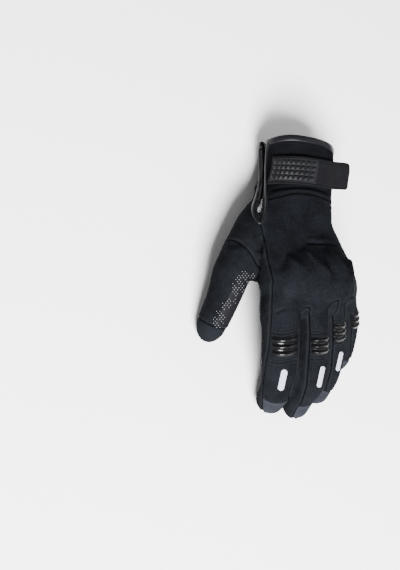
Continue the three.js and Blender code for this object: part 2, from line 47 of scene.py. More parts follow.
# Every row of a tube: x, y, z, half width, half thickness, roll in degrees.
handRows = [
    (25.4, 134, 24, 33, 24.5, 0), (25.4, 110.8, 24, 33, 24.5, 0), (25.6, 93.7, 24, 33, 24.5, 0),
    (22.9, 81.3, 24.5, 33.5, 24, 0), (19, 68.5, 27.5, 35.5, 22.5, 0), (16.3, 55.9, 30.5, 37.5, 21.5, 1),
    (14.5, 45.2, 33, 39, 21, 2), (16.2, 31.4, 36.5, 43, 21, 3), (20.2, 14.3, 41, 48, 21.5, 5),
    (22.4, -2.6, 44.5, 51.3, 21.5, 8), (22.6, -15.9, 45.5, 50, 21.3, 9),
    (24.3, -26, 44.3, 47, 19.3, 10), (26, -36, 41, 0, 0, 12),
]
fingerRows = {
    "index": [
        (-7.7, -8.6, 49, 16.2, 15, -4), (-9.9, -25.9, 50.5, 16.2, 15, -8),
        (-7.8, -44.2, 48, 15.5, 14.3, -12), (-4.3, -61.4, 43, 15.3, 14, -12),
        (0.8, -76.9, 35, 14.4, 13, -12), (4.6, -89.5, 25.5, 13.4, 12, -10),
        (6.6, -99.5, 12.6, 12.2, 10.6, -8), (6.8, -108.5, 6.5, 0, 0, -8),
    ],
    "middle": [
        (16.3, -6.5, 48, 15.4, 14.5, 3), (23.3, -23.4, 48.5, 15, 14.5, 4), (24.4, -42, 46, 13.5, 14, 5),
        (27.7, -59.5, 41.5, 13.6, 13.6, 5), (30.1, -75.5, 36, 13.8, 13, 5),
        (32, -89, 28, 13.3, 12.3, 5), (33.4, -100, 13, 12, 10.8, 5), (32, -112.3, 6.5, 0, 0, 5),
    ],
    "ring": [
        (37.2, -2.9, 44, 15, 14, 10), (45.9, -19.6, 42.3, 13.3, 13.8, 12),
        (48.8, -35.8, 38.4, 12.2, 12.8, 14), (53, -51.7, 32, 12.3, 12.6, 15),
        (56, -65.3, 26, 12.6, 12.5, 15), (57.6, -79, 17.5, 12.3, 11.6, 15),
        (55.5, -88.9, 10, 11.6, 10.2, 12), (51, -100, 8, 0, 0, 10),
    ],
    "pinky": [
        (54.5, -0.9, 39, 12.5, 12.5, 18), (64.4, -15, 35.5, 11.6, 11.8, 20),
        (70.8, -29.3, 30, 10.8, 11, 22), (74.6, -43, 24, 10.7, 10.6, 22),
        (77.2, -53.4, 17, 10.6, 10.2, 20), (76.8, -62, 11, 9.8, 9.6, 16), (71, -73, 8, 0, 0, 12),
    ],
}
thumbRows = [
    (-5, 58.8, 29, 14, 13, 0), (-18.4, 42.3, 30.5, 16, 16, 0), (-32.8, 19.1, 32, 16.6, 16.8, 0),
    (-42.3, 0.5, 30, 15, 15.2, 0), (-48.4, -22.1, 23.5, 12.8, 13, 0),
    (-51.6, -39.4, 14.2, 11.9, 11.9, 0), (-54.6, -54.2, 7, 0, 0, 0),
]
webRows = [(-16, 26, 34, 20, 11, 0), (-24, 8, 34.5, 14, 9.5, 0), (-28.5, -5, 34, 0, 0, 0)]


least = np.minimum.reduce


def unit(v):
    return v / np.maximum(np.linalg.norm(v, axis=-1, keepdims=True), 1e-9)


def dot(a, b):
    return (a * b).sum(-1)


def smoothstep(low, high, v):
    f = np.clip((v - low) / (high - low), 0, 1)
    return f * f * (3 - 2 * f)


def through(a, b, c, d, f):
    # a smooth curve from b to c, with a before them and d after them
    return b + 0.5 * f * (c - a + f * (2 * a - 5 * b + 4 * c - d + f * (3 * (b - c) + d - a)))


def column(values, t):
    # one column of a table, read between its rows along a smooth curve
    last = len(values) - 1
    t = np.asarray(t, float)
    i = np.clip(np.floor(t).astype(int), 0, last - 1)
    around = (values[np.clip(i + k, 0, last)] for k in (-1, 0, 1, 2))
    return through(*around, np.clip(t - i, 0, 1))


class Tube:
    # a closed tube through the rows of a table; t counts the rows
    perRow = 40
    batch = 6000

    def __init__(self, rows, level=False):
        self.rows = np.array(rows, float)
        self.end = len(rows) - 1
        self.level = level
        self.stations = np.linspace(0, self.end, self.perRow * self.end + 1)
        self.line = self.at(self.stations)
        self.step = np.linalg.norm(self.at(self.end) - self.at(self.end - 1))

    def at(self, t):
        return np.stack([column(self.rows[:, k], t) for k in range(3)], -1)

    def change(self, t, reach):
        return self.at(np.minimum(t + reach, self.end)) - self.at(np.maximum(t - reach, 0))

    def frames(self, t, turn=0.0):
        # point, the way along, the way across, the way up, half width and half thickness
        t = np.asarray(t, float)
        inside = np.clip(t, 0, self.end)
        if self.level:
            along = np.broadcast_to(np.array([0.0, -1.0, 0.0]), t.shape + (3,))
        else:
            along = unit(self.change(inside, 0.25))
        point = self.at(inside) + along * ((t - inside) * self.step)[..., None]
        flat = unit(np.cross(np.broadcast_to(np.array([0.0, 0.0, 1.0]), along.shape), along))
        rise = np.cross(along, flat)
        roll = np.radians(column(self.rows[:, 5], inside) + turn)[..., None]
        side = flat * np.cos(roll) - rise * np.sin(roll)
        up = rise * np.cos(roll) + flat * np.sin(roll)
        size = np.minimum(inside, self.end - 1)
        return point, along, side, up, column(self.rows[:-1, 3], size), column(self.rows[:-1, 4], size)

    def measure(self, points, turn=0.0):
        # station, distance across, height and distance off the tube's skin
        if self.level:
            t = np.interp(-points[:, 1], -self.line[:, 1], self.stations)
        else:
            best = np.empty(len(points), int)
            for k in range(0, len(points), self.batch):
                part = points[k:k + self.batch]
                far = (part ** 2).sum(1)[:, None] - 2 * part @ self.line.T + (self.line ** 2).sum(1)[None]
                best[k:k + self.batch] = far.argmin(1)
            reach = 1 / self.perRow
            near = self.stations[best]
            way = self.change(near, reach) / (2 * reach)
            t = near + dot(points - self.line[best], way) / np.maximum(dot(way, way), 1)
        point, along, side, up, half, thick = self.frames(t, turn)
        off = points - point
        across, height = dot(off, side), dot(off, up)
        power = 2 / roundness
        rho = ((np.abs(across) / half) ** power + (np.abs(height) / thick) ** power) ** (1 / power)
        return t, across, height, (rho - 1) * np.minimum(half, thick)


hand = Tube(handRows, level=True)
fingers = {name: Tube(rows) for name, rows in fingerRows.items()}
thumb = Tube(thumbRows)
web = Tube(webRows)

# Where the photograph was taken from, and the way straight up onto the palm.
photoView = {
    "target": (0, 0, 34), "distance": 1300, "perPixel": 0.82, "centre": (278.5, 276.5),
    "roll": 35, "pitch": 8, "frame": (400, 570), "sensor": 36,
}
perPixel = photoView["perPixel"]
rollTo, pitchTo = math.radians(photoView["roll"]), math.radians(photoView["pitch"])
sinRoll, cosRoll = math.sin(rollTo), math.cos(rollTo)
sinPitch, cosPitch = math.sin(pitchTo), math.cos(pitchTo)
viewRight = np.array([cosRoll, 0, sinRoll])
viewUp = np.array([-sinPitch * sinRoll, cosPitch, sinPitch * cosRoll])
viewBack = np.array([-sinRoll * cosPitch, -sinPitch, cosRoll * cosPitch])
viewTarget = np.array(photoView["target"], float)
viewEye = viewTarget + viewBack * photoView["distance"]
palmView = {"centre": (147, 280), "x": 18, "perPixel": 0.98, "under": -60}


def onPhoto(points):
    # where points are seen on the photograph
    off = points - viewTarget
    scale = photoView["distance"] / (photoView["distance"] - dot(off, viewBack)) / perPixel
    u, v = photoView["centre"]
    return np.stack([u + dot(off, viewRight) * scale, v - dot(off, viewUp) * scale], -1)


def onPalm(points):
    # where points are seen on the view of the palm
    u, v = palmView["centre"]
    return np.stack([u + (points[:, 0] - palmView["x"]) / palmView["perPixel"], points[:, 1] + v], -1)


def polyDistance(line, spots):
    # distance of flat points from a line of points, and how far along the line they are
    line = np.array(line, float)
    best = np.full(len(spots), 1e9)
    run = np.zeros(len(spots))
    start = 0.0
    for a, b in zip(line[:-1], line[1:]):
        way = b - a
        length = np.linalg.norm(way)
        f = np.clip(((spots - a) @ way) / max(length * length, 1e-9), 0, 1)
        gap = np.linalg.norm(spots - (a + f[:, None] * way), axis=1)
        near = gap < best
        best = np.where(near, gap, best)
        run = np.where(near, start + f * length, run)
        start += length
    return best, run / start


def inOutline(outline, spots):
    # distance in from the edge of a closed outline, negative outside
    outline = np.array(outline, float)
    edge, _ = polyDistance(np.vstack([outline, outline[:1]]), spots)
    inside = np.zeros(len(spots), bool)
    x, y = spots[:, 0], spots[:, 1]
    for a, b in zip(outline, np.roll(outline, -1, axis=0)):
        crosses = (a[1] > y) != (b[1] > y)
        if abs(b[1] - a[1]) > 1e-9:
            inside ^= crosses & (x < (b[0] - a[0]) * (y - a[1]) / (b[1] - a[1]) + a[0])
    return np.where(inside, edge, -edge)


def rounded(outline, cuts=6, closed=True):
    # a smooth curve through the points of an outline
    p = np.array(outline, float)
    count = len(p)
    made = []
    for i in range(count if closed else count - 1):
        around = np.arange(i - 1, i + 3)
        around = around % count if closed else np.clip(around, 0, count - 1)
        made += [through(*p[around], f) for f in np.arange(cuts) / cuts]
    if not closed:
        made.append(p[-1])
    return np.array(made)


# Helpers on meshes

def places(bm):
    return np.array([v.co[:] for v in bm.verts], float).reshape(-1, 3)


def normals(bm):
    bm.normal_update()
    return np.array([v.normal[:] for v in bm.verts], float).reshape(-1, 3)


def setPlaces(bm, points):
    for v, p in zip(bm.verts, points):
        v.co = p


def setLayer(bm, name, values):
    layer = bm.verts.layers.float.get(name) or bm.verts.layers.float.new(name)
    for v, value in zip(bm.verts, np.asarray(values, float).tolist()):
        v[layer] = value


def dropLayers(bm, names):
    for name in names:
        bm.verts.layers.float.remove(bm.verts.layers.float[name])


def getLayer(bm, name):
    layer = bm.verts.layers.float[name]
    return np.array([v[layer] for v in bm.verts], float)


def cutAlong(bm, name, snap=0.1):
    # cuts the mesh where the layer passes through nought; points nearer than snap are used as they are
    layer = bm.verts.layers.float[name]
    touched = []
    for v in bm.verts:
        if abs(v[layer]) < snap:
            v[layer] = 0.0
            touched.append(v)
    fresh = []
    for edge in [e for e in bm.edges if e.verts[0][layer] * e.verts[1][layer] < 0]:
        a, b = edge.verts
        split = a[layer] / (a[layer] - b[layer])
        _, made = bmesh.utils.edge_split(edge, a, split)
        made[layer] = 0.0
        fresh.append(made)
    near = [v for v in touched if any(abs(e.other_vert(v)[layer]) > 0 for e in v.link_edges)]
    bmesh.ops.connect_verts(bm, verts=fresh + near)


def faceMeans(bm, name):
    layer = bm.verts.layers.float[name]
    return np.array([sum(v[layer] for v in f.verts) / len(f.verts) for f in bm.faces])


def keepFaces(bm, keep):
    bm.faces.ensure_lookup_table()
    gone = [f for f, k in zip(bm.faces, keep) if not k]
    bmesh.ops.delete(bm, geom=gone, context="FACES")
    loose = [v for v in bm.verts if not v.link_faces]
    if loose:
        bmesh.ops.delete(bm, geom=loose, context="VERTS")


def chainsOf(edges):
    # ordered runs of vertices along a set of edges
    links = {}
    for e in edges:
        a, b = e.verts
        links.setdefault(a, []).append(b)
        links.setdefault(b, []).append(a)
    left = {frozenset(e.verts) for e in edges}
    runs = []
    starts = [v for v in links if len(links[v]) != 2] + list(links)
    for start in starts:
        for nxt in links[start]:
            if frozenset((start, nxt)) not in left:
                continue
            run = [start]
            here = nxt
            left.discard(frozenset((start, here)))
            run.append(here)
            while len(links[here]) == 2:
                options = [v for v in links[here] if frozenset((here, v)) in left]
                if not options:
                    break
                left.discard(frozenset((here, options[0])))
                here = options[0]
                run.append(here)
            runs.append(run)
    return runs


def evenly(line, gap):
    line = np.array(line, float)
    steps = np.linalg.norm(np.diff(line, axis=0), axis=1)
    run = np.concatenate([[0], np.cumsum(steps)])
    count = max(2, int(round(run[-1] / gap)) + 1)
    at = np.linspace(0, run[-1], count)
    return np.stack([np.interp(at, run, line[:, k]) for k in range(line.shape[1])], -1)


def meshOf(bm, name):
    mesh = bpy.data.meshes.new(name)
    bm.to_mesh(mesh)
    bm.free()
    return mesh


def addObject(name, data):
    thing = bpy.data.objects.new(name, data)
    bpy.context.scene.collection.objects.link(thing)
    return thing


def soften(bm, verts, times):
    for _ in range(times):
        bmesh.ops.smooth_vert(bm, verts=verts, factor=0.5, use_axis_x=True, use_axis_y=True,
                              use_axis_z=True)


def faceAlong(bm, way):
    # all faces agree, and on the whole they point along the way
    bmesh.ops.recalc_face_normals(bm, faces=bm.faces)
    if np.mean(normals(bm) @ way) < 0:
        bmesh.ops.reverse_faces(bm, faces=bm.faces)


def finishPiece(bm, name, looks, stands=(), wall=None, bevel=None, smooth=True):
    # millimetres become metres, and the piece joins the scene
    for v in bm.verts:
        v.co = Vector((v.co - Vector(layCentre)) * toMetres)
    bm.normal_update()
    mesh = meshOf(bm, name)
    piece = addObject(name, mesh)
    for look in looks:
        mesh.materials.append(finish[look])
    for polygon in mesh.polygons:
        polygon.use_smooth = smooth
    if bevel:
        rim = piece.modifiers.new("rounded", "BEVEL")
        rim.width = bevel * toMetres
        rim.segments = 2
        rim.limit_method = "ANGLE"
    if wall:
        thick = piece.modifiers.new("wall", "SOLIDIFY")
        thick.thickness = wall * toMetres
        thick.offset = -1
        if len(looks) > 1:
            thick.material_offset = 1
    if stands:
        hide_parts(*stands)
    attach(piece, "root")


# Finishes

class Tap:
    # a socket that can be used in sums, and the one way to add other nodes
    def __init__(self, tree, socket=None):
        self.tree = tree
        self.socket = socket

    def add(self, kind, settings=None, inputs=None, out=0):
        node = self.tree.nodes.new(kind)
        for key, value in (settings or {}).items():
            setattr(node, key, value)
        for key, value in (inputs or {}).items():
            if isinstance(value, Tap):
                self.tree.links.new(value.socket, node.inputs[key])
            else:
                node.inputs[key].default_value = value
        return Tap(self.tree, node.outputs[out])

    def work(self, operation, a, b=0.0):
        return self.add("ShaderNodeMath", {"operation": operation}, {0: a, 1: b})

    def __add__(self, other):
        return self.work("ADD", self, other)

    def __radd__(self, other):
        return self.work("ADD", other, self)

    def __sub__(self, other):
        return self.work("SUBTRACT", self, other)

    def __rsub__(self, other):
        return self.work("SUBTRACT", other, self)

    def __mul__(self, other):
        return self.work("MULTIPLY", self, other)

    def __rmul__(self, other):
        return self.work("MULTIPLY", other, self)

    def between(self, low, high):
        # nought at low, one at high, smooth between them
        return self.add("ShaderNodeMapRange", {"interpolation_type": "SMOOTHSTEP"},
                        {"Value": self, "From Min": low, "From Max": high})

    def blend(self, a, b):
        # colour a where this is nought, and b where it is one
        return self.add("ShaderNodeMix", {"data_type": "RGBA"}, {0: self, 6: a, 7: b}, 2)

    def mapped(self, turn=0.0, stretch=1.0):
        # the same places, turned about the upright and scaled along y
        return self.add("ShaderNodeMapping", {}, {"Vector": self, "Rotation": (0.0, 0.0, turn),
                                                  "Scale": (1.0, stretch, 1.0)})

    def noise(self, scale, detail=3.0, roughness=0.5):
        return self.add("ShaderNodeTexNoise", {}, {"Vector": self, "Scale": scale, "Detail": detail,
                                                   "Roughness": roughness})

    def cells(self, scale):
        return self.add("ShaderNodeTexVoronoi", {"feature": "F1"}, {"Vector": self, "Scale": scale})

    def bands(self, direction, scale):
        return self.add("ShaderNodeTexWave", {"bands_direction": direction},
                        {"Vector": self, "Scale": scale, "Distortion": 0.15})


def linear(red, green, blue):
    def one(c):
        c /= 255
        return c / 12.92 if c <= 0.04045 else ((c + 0.055) / 1.055) ** 2.4
    return (one(red), one(green), one(blue), 1.0)


def times(colour, factor):
    return tuple(min(1.0, c * factor) for c in colour[:3]) + (1.0,)


# colour as seen, times tone; light and deep scale it; blotch and grain are counts over a metre; seam
# turns on painted shade and a painted highlight along seams
plainFinish = dict(tone=0.6, light=1.3, deep=0.7, blotch=200, rough=0.6, bump=0.2, height=0.0001,
                   spec=0.1, seam=False, kind="pebble")
finishes = {
    "softshell": dict(colour=(34, 36, 41), tone=0.24, light=1.9, deep=0.42, blotch=55, grain=1500,
                      rough=0.85, bump=0.5, height=0.00022, spec=0.01, seam=True, kind="weave"),
    "suede": dict(colour=(36, 38, 42), tone=0.24, light=1.65, deep=0.52, blotch=85, grain=900,
                  rough=0.95, bump=0.6, height=0.0003, spec=0.01, seam=True, kind="nap"),
    "cuffCloth": dict(colour=(30, 31, 35), tone=0.24, light=1.4, deep=0.62, blotch=60, grain=1700,
                      rough=0.88, bump=0.45, height=0.0002, spec=0.01, seam=True, kind="weave"),
    "lining": dict(colour=(34, 35, 39), blotch=120, grain=700, rough=0.95, bump=0.8, height=0.0005,
                   spec=0.03, kind="nap"),
    "tape": dict(colour=(20, 20, 24), tone=0.5, light=1.5, blotch=90, grain=2400, rough=0.36,
                 bump=0.12, spec=0.13),
    "strapCloth": dict(colour=(40, 40, 44), tone=0.24, light=1.35, deep=0.65, blotch=80, grain=1900,
                       rough=0.8, bump=0.45, height=0.0002, spec=0.03, kind="weave"),
    "strapRubber": dict(colour=(40, 40, 44), tone=0.3, light=1.35, grain=2600, rough=0.55),
    "flexGloss": dict(colour=(10, 10, 12), tone=0.5, deep=0.8, grain=2200, rough=0.5, bump=0.05,
                      height=0.00006, spec=0.04, seam=True, coat=0.55),
    "reflector": dict(colour=(206, 210, 233), tone=0.53, light=1.05, deep=0.92, blotch=400, grain=2400,
                      rough=0.42, bump=0.25, height=0.00008, spec=0.4),
    "tipSuede": dict(colour=(76, 79, 88), tone=0.185, blotch=110, grain=1000, rough=0.92, bump=0.5,
                     height=0.00025, spec=0.015, seam=True, kind="nap"),
    "thumbSuede": dict(colour=(47, 50, 56), tone=0.2, blotch=110, grain=1000, rough=0.92, bump=0.5,
                       height=0.00025, spec=0.015, seam=True, kind="nap"),
    "touchPad": dict(colour=(38, 40, 43), tone=0.65, light=1.35, blotch=120, grain=1500, bump=0.4,
                     height=0.0002, spec=0.12, seam=True),
    "gripSuede": dict(colour=(54, 57, 61), tone=0.62, light=2.6, deep=0.45, blotch=90, grain=170,
                      rough=0.8, bump=0.9, height=0.0004, spec=0.08, seam=True, kind="dots"),
    "patchRubber": dict(colour=(38, 42, 50), deep=0.75, blotch=140, grain=1900, rough=0.5, bump=0.25,
                        height=0.00015, spec=0.18, seam=True),
    "thread": dict(colour=(10, 10, 12), light=1.4, blotch=300, grain=3000, spec=0.03),
    "palmThread": dict(colour=(56, 58, 63), tone=0.7, deep=0.8, blotch=300, grain=3000),
    "gripDots": dict(colour=(140, 144, 148), light=1.6, deep=0.35, blotch=260, grain=2600, rough=0.4,
                     bump=0.1, spec=0.3),
    "paleLining": dict(colour=(246, 247, 249), tone=1.0, light=1.02, deep=0.97, blotch=150, grain=1200,
                       rough=0.9, kind="weave"),
    "facing": dict(colour=(20, 20, 23), light=1.5, blotch=120, grain=1500, bump=0.3, height=0.0002,
                   spec=0.05),
    "label": dict(colour=(26, 26, 29), tone=0.7, light=1.4, grain=2200, rough=0.7, bump=0.5,
                  height=0.00015, kind="weave"),
    "labelEdge": dict(colour=(206, 180, 74), tone=0.85, light=1.1, deep=0.8, grain=2200, bump=0.4,
                      height=0.00015, spec=0.15, kind="weave"),
}
# the colour gets a painted highlight band just beside a seam, and painted shade down in it; distances
# from the seam are in mm
seamPaintedLight = dict(deep=(0.1, 0.6), shadeShare=0.6, shadeTone=0.25, sink=1.2, worn=(0.5, 1.2),
                wornEnd=(1.3, 2.8), wornShare=0.35, wornLight=1.25)
# gloss dies away toward the edges of a panel
glossFrom, glossRough = (0.9, 2.2), 0.11


def weave(spot, grain):
    # short stitches of a knitted face
    return spot.mapped(0.4, 0.6).cells(grain) * 0.4 + spot.noise(grain / 2) * 0.6


def nap(spot, grain):
    # brushed short fibres that lean one way
    return spot.mapped(stretch=0.4).noise(grain, 5.0, 0.7) * 0.7 + spot.noise(grain / 4) * 0.4


def dots(spot, grain):
    # a diagonal grid of raised dots
    turned = spot.mapped(0.785)
    both = turned.bands("X", grain) * turned.bands("Y", grain)
    return both.between(0.35, 0.75) * 0.8 + spot.noise(1800.0) * 0.3


def pebble(spot, grain):
    return spot.cells(grain) * 0.6 + spot.noise(grain / 3) * 0.5


patterns = {"weave": weave, "nap": nap, "dots": dots, "pebble": pebble}


def makeFinish(name, look):
    look = {**plainFinish, **look}
    material = bpy.data.materials.new(name)
    material.use_nodes = True
    tree = material.node_tree
    tree.nodes.clear()
    spot = Tap(tree).add("ShaderNodeTexCoord", out="Object")
    base = times(linear(*look["colour"]), look["tone"])
    blotch = spot.noise(look["blotch"], 4.0, 0.6)
    grain = patterns[look["kind"]](spot, look["grain"])
    share = 0.2 if look["kind"] == "dots" else 0.45
    shade = (blotch * share + grain * (1 - share)).between(0.25, 0.75)
    colour = shade.blend(times(base, look["deep"]), times(base, look["light"]))
    height = grain
    if look["seam"]:
        seamLight = seamPaintedLight
        seam = spot.add("ShaderNodeAttribute", {"attribute_name": "seam"}, out="Fac")
        # down in a seam: painted shade in the colour, and a sunk bump
        deep = 1 - seam.between(*seamLight["deep"])
        # just beside a seam: a painted highlight band in the colour
        worn = seam.between(*seamLight["worn"]) * (1 - seam.between(*seamLight["wornEnd"]))
        colour = (worn * seamLight["wornShare"]).blend(colour, times(base, look["light"] * seamLight["wornLight"]))
        colour = (deep * seamLight["shadeShare"]).blend(colour, times(base, seamLight["shadeTone"]))
        height = grain - deep * seamLight["sink"]
    bump = spot.add("ShaderNodeBump", {}, {"Strength": look["bump"], "Distance": look["height"],
                                           "Height": height})
    surface = {"Base Color": colour, "Roughness": grain * 0.16 + (look["rough"] - 0.08), "Normal": bump,
               "Specular IOR Level": look["spec"]}
    if "coat" in look:
        surface["Coat Weight"] = seam.between(*glossFrom) * look["coat"]
        surface["Coat Roughness"] = glossRough
    skin = spot.add("ShaderNodeBsdfPrincipled", {}, surface)
    end = tree.nodes.new("ShaderNodeOutputMaterial")
    tree.links.new(skin.socket, end.inputs["Surface"])
    return material


finish = {name: makeFinish(name, look) for name, look in finishes.items()}
print("finishes made:", len(finish))


# The skin of the whole glove

# soft pads under the cloth: y and place across, length, width and height
padRows = [
    (3, 2, 20, 34, 2.0), (5, -25, 16, 7, 3.5), (4, -8, 16, 7, 4.5), (2, 9, 16, 7, 4.5),
    (-3, 27, 14, 8, 4.5),
]
# shares of a ball that become a tube's blunt start and its tip
ballParts = dict(start=0.03, tip=0.84, tipShare=0.16)
skinLook = dict(voxel=1.15, smoothing=6, webEnd=(-27, -4, 34), webReach=13, webSmoothing=14)


def padding(y, across):
    return sum(rise * np.exp(-((y - at) / long) ** 2 - ((across - aside) / wide) ** 2)
               for at, aside, long, wide, rise in padRows)


def tubeForm(tube, sides, rings, padded=False):
    # a ball drawn out along a tube
    bm = bmesh.new()
    bmesh.ops.create_uvsphere(bm, u_segments=sides, v_segments=rings, radius=1.0)
    ball = places(bm)
    ring = (np.arcsin(np.clip(ball[:, 2], -1, 1)) / (math.pi / 2) + 1) / 2
    angle = np.arctan2(ball[:, 1], ball[:, 0])
    last = tube.end - 1
    t = np.interp(ring, [ballParts["start"], ballParts["tip"]], [0, last])
    point, along, side, up, half, thick = tube.frames(t)
    tip = np.clip((ring - ballParts["tip"]) / ballParts["tipShare"], 0, 1) * math.pi / 2
    size = np.where(ring < ballParts["start"], ring / ballParts["start"], np.cos(tip))
    way = tube.at(tube.end) - tube.at(last)
    point = point + np.sin(tip)[:, None] * way
    c, s = np.cos(angle), np.sin(angle)
    across = size * half * np.sign(c) * np.abs(c) ** roundness
    lift = size * thick * np.sign(s) * np.abs(s) ** roundness
    if padded:
        lift = lift + np.where(s > 0.05, padding(point[:, 1], across) * np.minimum(1, s * 2), 0)
    setPlaces(bm, point + side * across[:, None] + up * lift[:, None])
    bmesh.ops.recalc_face_normals(bm, faces=bm.faces)
    return bm


def fuseTubes():
    whole = bmesh.new()
    forms = [tubeForm(hand, 96, 96, padded=True), tubeForm(thumb, 56, 80), tubeForm(web, 48, 40)]
    forms += [tubeForm(tube, 56, 80) for tube in fingers.values()]
    for form in forms:
        part = meshOf(form, "form")
        whole.from_mesh(part)
        bpy.data.meshes.remove(part)
    blank = addObject("blank", meshOf(whole, "blank"))
    joined = blank.modifiers.new("joined", "REMESH")
    joined.mode = "VOXEL"
    joined.voxel_size = skinLook["voxel"]
    grid = bpy.context.evaluated_depsgraph_get()
    fused = bpy.data.meshes.new_from_object(blank.evaluated_get(grid))
    bpy.data.objects.remove(blank)
    bm = bmesh.new()
    bm.from_mesh(fused)
    soften(bm, bm.verts, skinLook["smoothing"])
    webEnd = Vector(skinLook["webEnd"])
    near = [v for v in bm.verts if (v.co - webEnd).length < skinLook["webReach"]]
    soften(bm, near, skinLook["webSmoothing"])
    return bm


skin = fuseTubes()
print("skin fused:", len(skin.verts), "points")

# edges of the panels, as lines seen from above
rimLine = rounded([
    (-40, 110), (-12, 113.5), (1, 117), (21, 116.7), (40, 115), (58, 112), (90, 106),
], closed=False)
wristLine = rounded([
    (-40, 56), (-12, 63), (2, 67), (14, 68.3), (28, 68), (42, 66), (54, 63), (90, 54),
], closed=False)
backEndLine = rounded([
    (-30, -28), (0, -28), (19, -28), (29, -25), (37, -19.5), (47, -17.5), (57, -15), (68, -13.5),
    (90, -11),
], closed=False)
thumbPlane = [(-90, 75.5), (-51, 30), (-21, -5), (19, -51.7), (-150, -120)]
backSide = np.array([
    (262, 150), (262, 200), (260.7, 225), (262.3, 230), (264.4, 240), (266.3, 249.3), (267.3, 258),
    (269.6, 267), (272.4, 277), (273.3, 284), (273, 303),
])
# side seams of the finger strips as lines on the photograph, left then right
stripSides = {
    "index": (
        [(273, 290), (272, 303), (270.4, 325.7), (268.2, 347), (264.8, 368.6), (263, 385.7), (262, 402)],
        [(304.8, 300), (304.8, 308), (302.8, 311.5), (301, 316), (299.6, 328.6), (299.3, 342.9),
         (296.4, 375.7), (288.6, 394.3)],
    ),
    "middle": (
        [(306.6, 300), (306.6, 308), (308.4, 311.5), (309.3, 316), (309.7, 335.7), (308.6, 357),
         (306.4, 385.7), (301.9, 402.5), (299.4, 406), (296.3, 410), (293, 416)],
        [(329.3, 296), (329.3, 303), (328.1, 306.5), (328.3, 323), (328.2, 354), (327.2, 377),
         (324, 396)],
    ),
    "ring": (
        [(331.1, 296), (331.1, 303), (332.4, 306.5), (333, 320), (333.2, 345), (331, 370), (326, 388)],
        [(346.6, 292), (346.6, 299.5), (345.2, 303.5), (345.2, 320), (344.8, 340), (343.5, 360),
         (340, 380)],
    ),
    "pinky": (
        [(348.4, 292), (348.4, 299.5), (350.2, 303.5), (351, 313), (351.6, 330), (351, 350), (348, 372)],
        None,
    ),
}
# half width and lowest side of each strip, and where the cap starts, in rows of the finger
strips = {
    "index": dict(half=14.8, low=-3, cap=5.45), "middle": dict(half=13.3, low=1, cap=5.65),
    "ring": dict(half=12.5, low=1, cap=5.5), "pinky": dict(half=11.3, low=0.5, cap=4.6),
}
# other limits of the panels
backCut = dict(side=5.5, corner=3.2, stripStart=-12, stripReach=9)
slitCut = dict(low=-9, high=16, end=41)
cuffCut = dict(side=24.2, palmStart=80)
thumbCut = dict(reach=4.0, cap=5.0, capTurn=-38)
capReach = 3
# fields count millimetres, so a length in rows is scaled to about that
rowLength = 14

# the slit: y, x and z of its middle line, half the gap, half the space between its two tapes
slitRows = np.array([
    (125.4, -8.3, 24, 2.6, 5.0), (113, -8.5, 24, 2.2, 4.4), (106.6, -8.7, 24, 1.1, 3.1),
    (95, -9.2, 24.4, 0.95, 2.7), (77.6, -9.9, 25, 0.95, 2.7), (71, -12.4, 27.6, 0.95, 3.3),
    (63.6, -15.4, 30.7, 1.0, 4.6), (59, -17.2, 32.6, 1.7, 5.3), (55, -18.9, 34, 2.0, 5.6),
    (51.5, -19.8, 35.4, 1.6, 5.4), (48.7, -20.5, 36.4, 0.7, 4.7), (44.6, -21.2, 38, 0.05, 3.0),
    (41, -21.6, 39.2, 0.02, 0.9),
])[::-1]
slitOut = unit(np.array([-0.57, -0.14, 0.81]))
slitAcross = np.array([0.82, 0, 0.57])


def slitAt(y):
    return np.stack([np.interp(y, slitRows[:, 0], slitRows[:, k]) for k in (1, 2, 3, 4)], -1)


def slitPlace(points):
    # across the slit, out from it, half gap and half the space between the tapes
    s = slitAt(points[:, 1])
    off = points - np.stack([s[:, 0], points[:, 1], s[:, 1]], -1)
    return off @ slitAcross, off @ slitOut, s[:, 2], s[:, 3]


def between(out, limits):
    return (out > limits["low"]) & (out < limits["high"])


def lineAt(line, x):
    return np.interp(x, line[:, 0], line[:, 1])


def joinRound(a, b, radius):
    # the larger of two fields, with the corner between them filled to a radius
    u, v = np.maximum(radius + a, 0), np.maximum(radius + b, 0)
    return np.hypot(u, v) - np.maximum(radius, np.minimum(-a, -b))


def rightOf(line, seen):
    # how far places seen on the photograph lie to the right of a line on it, in mm
    us, vs = np.array(line, float).T
    return (seen[:, 0] - np.interp(seen[:, 1], vs, us)) * perPixel


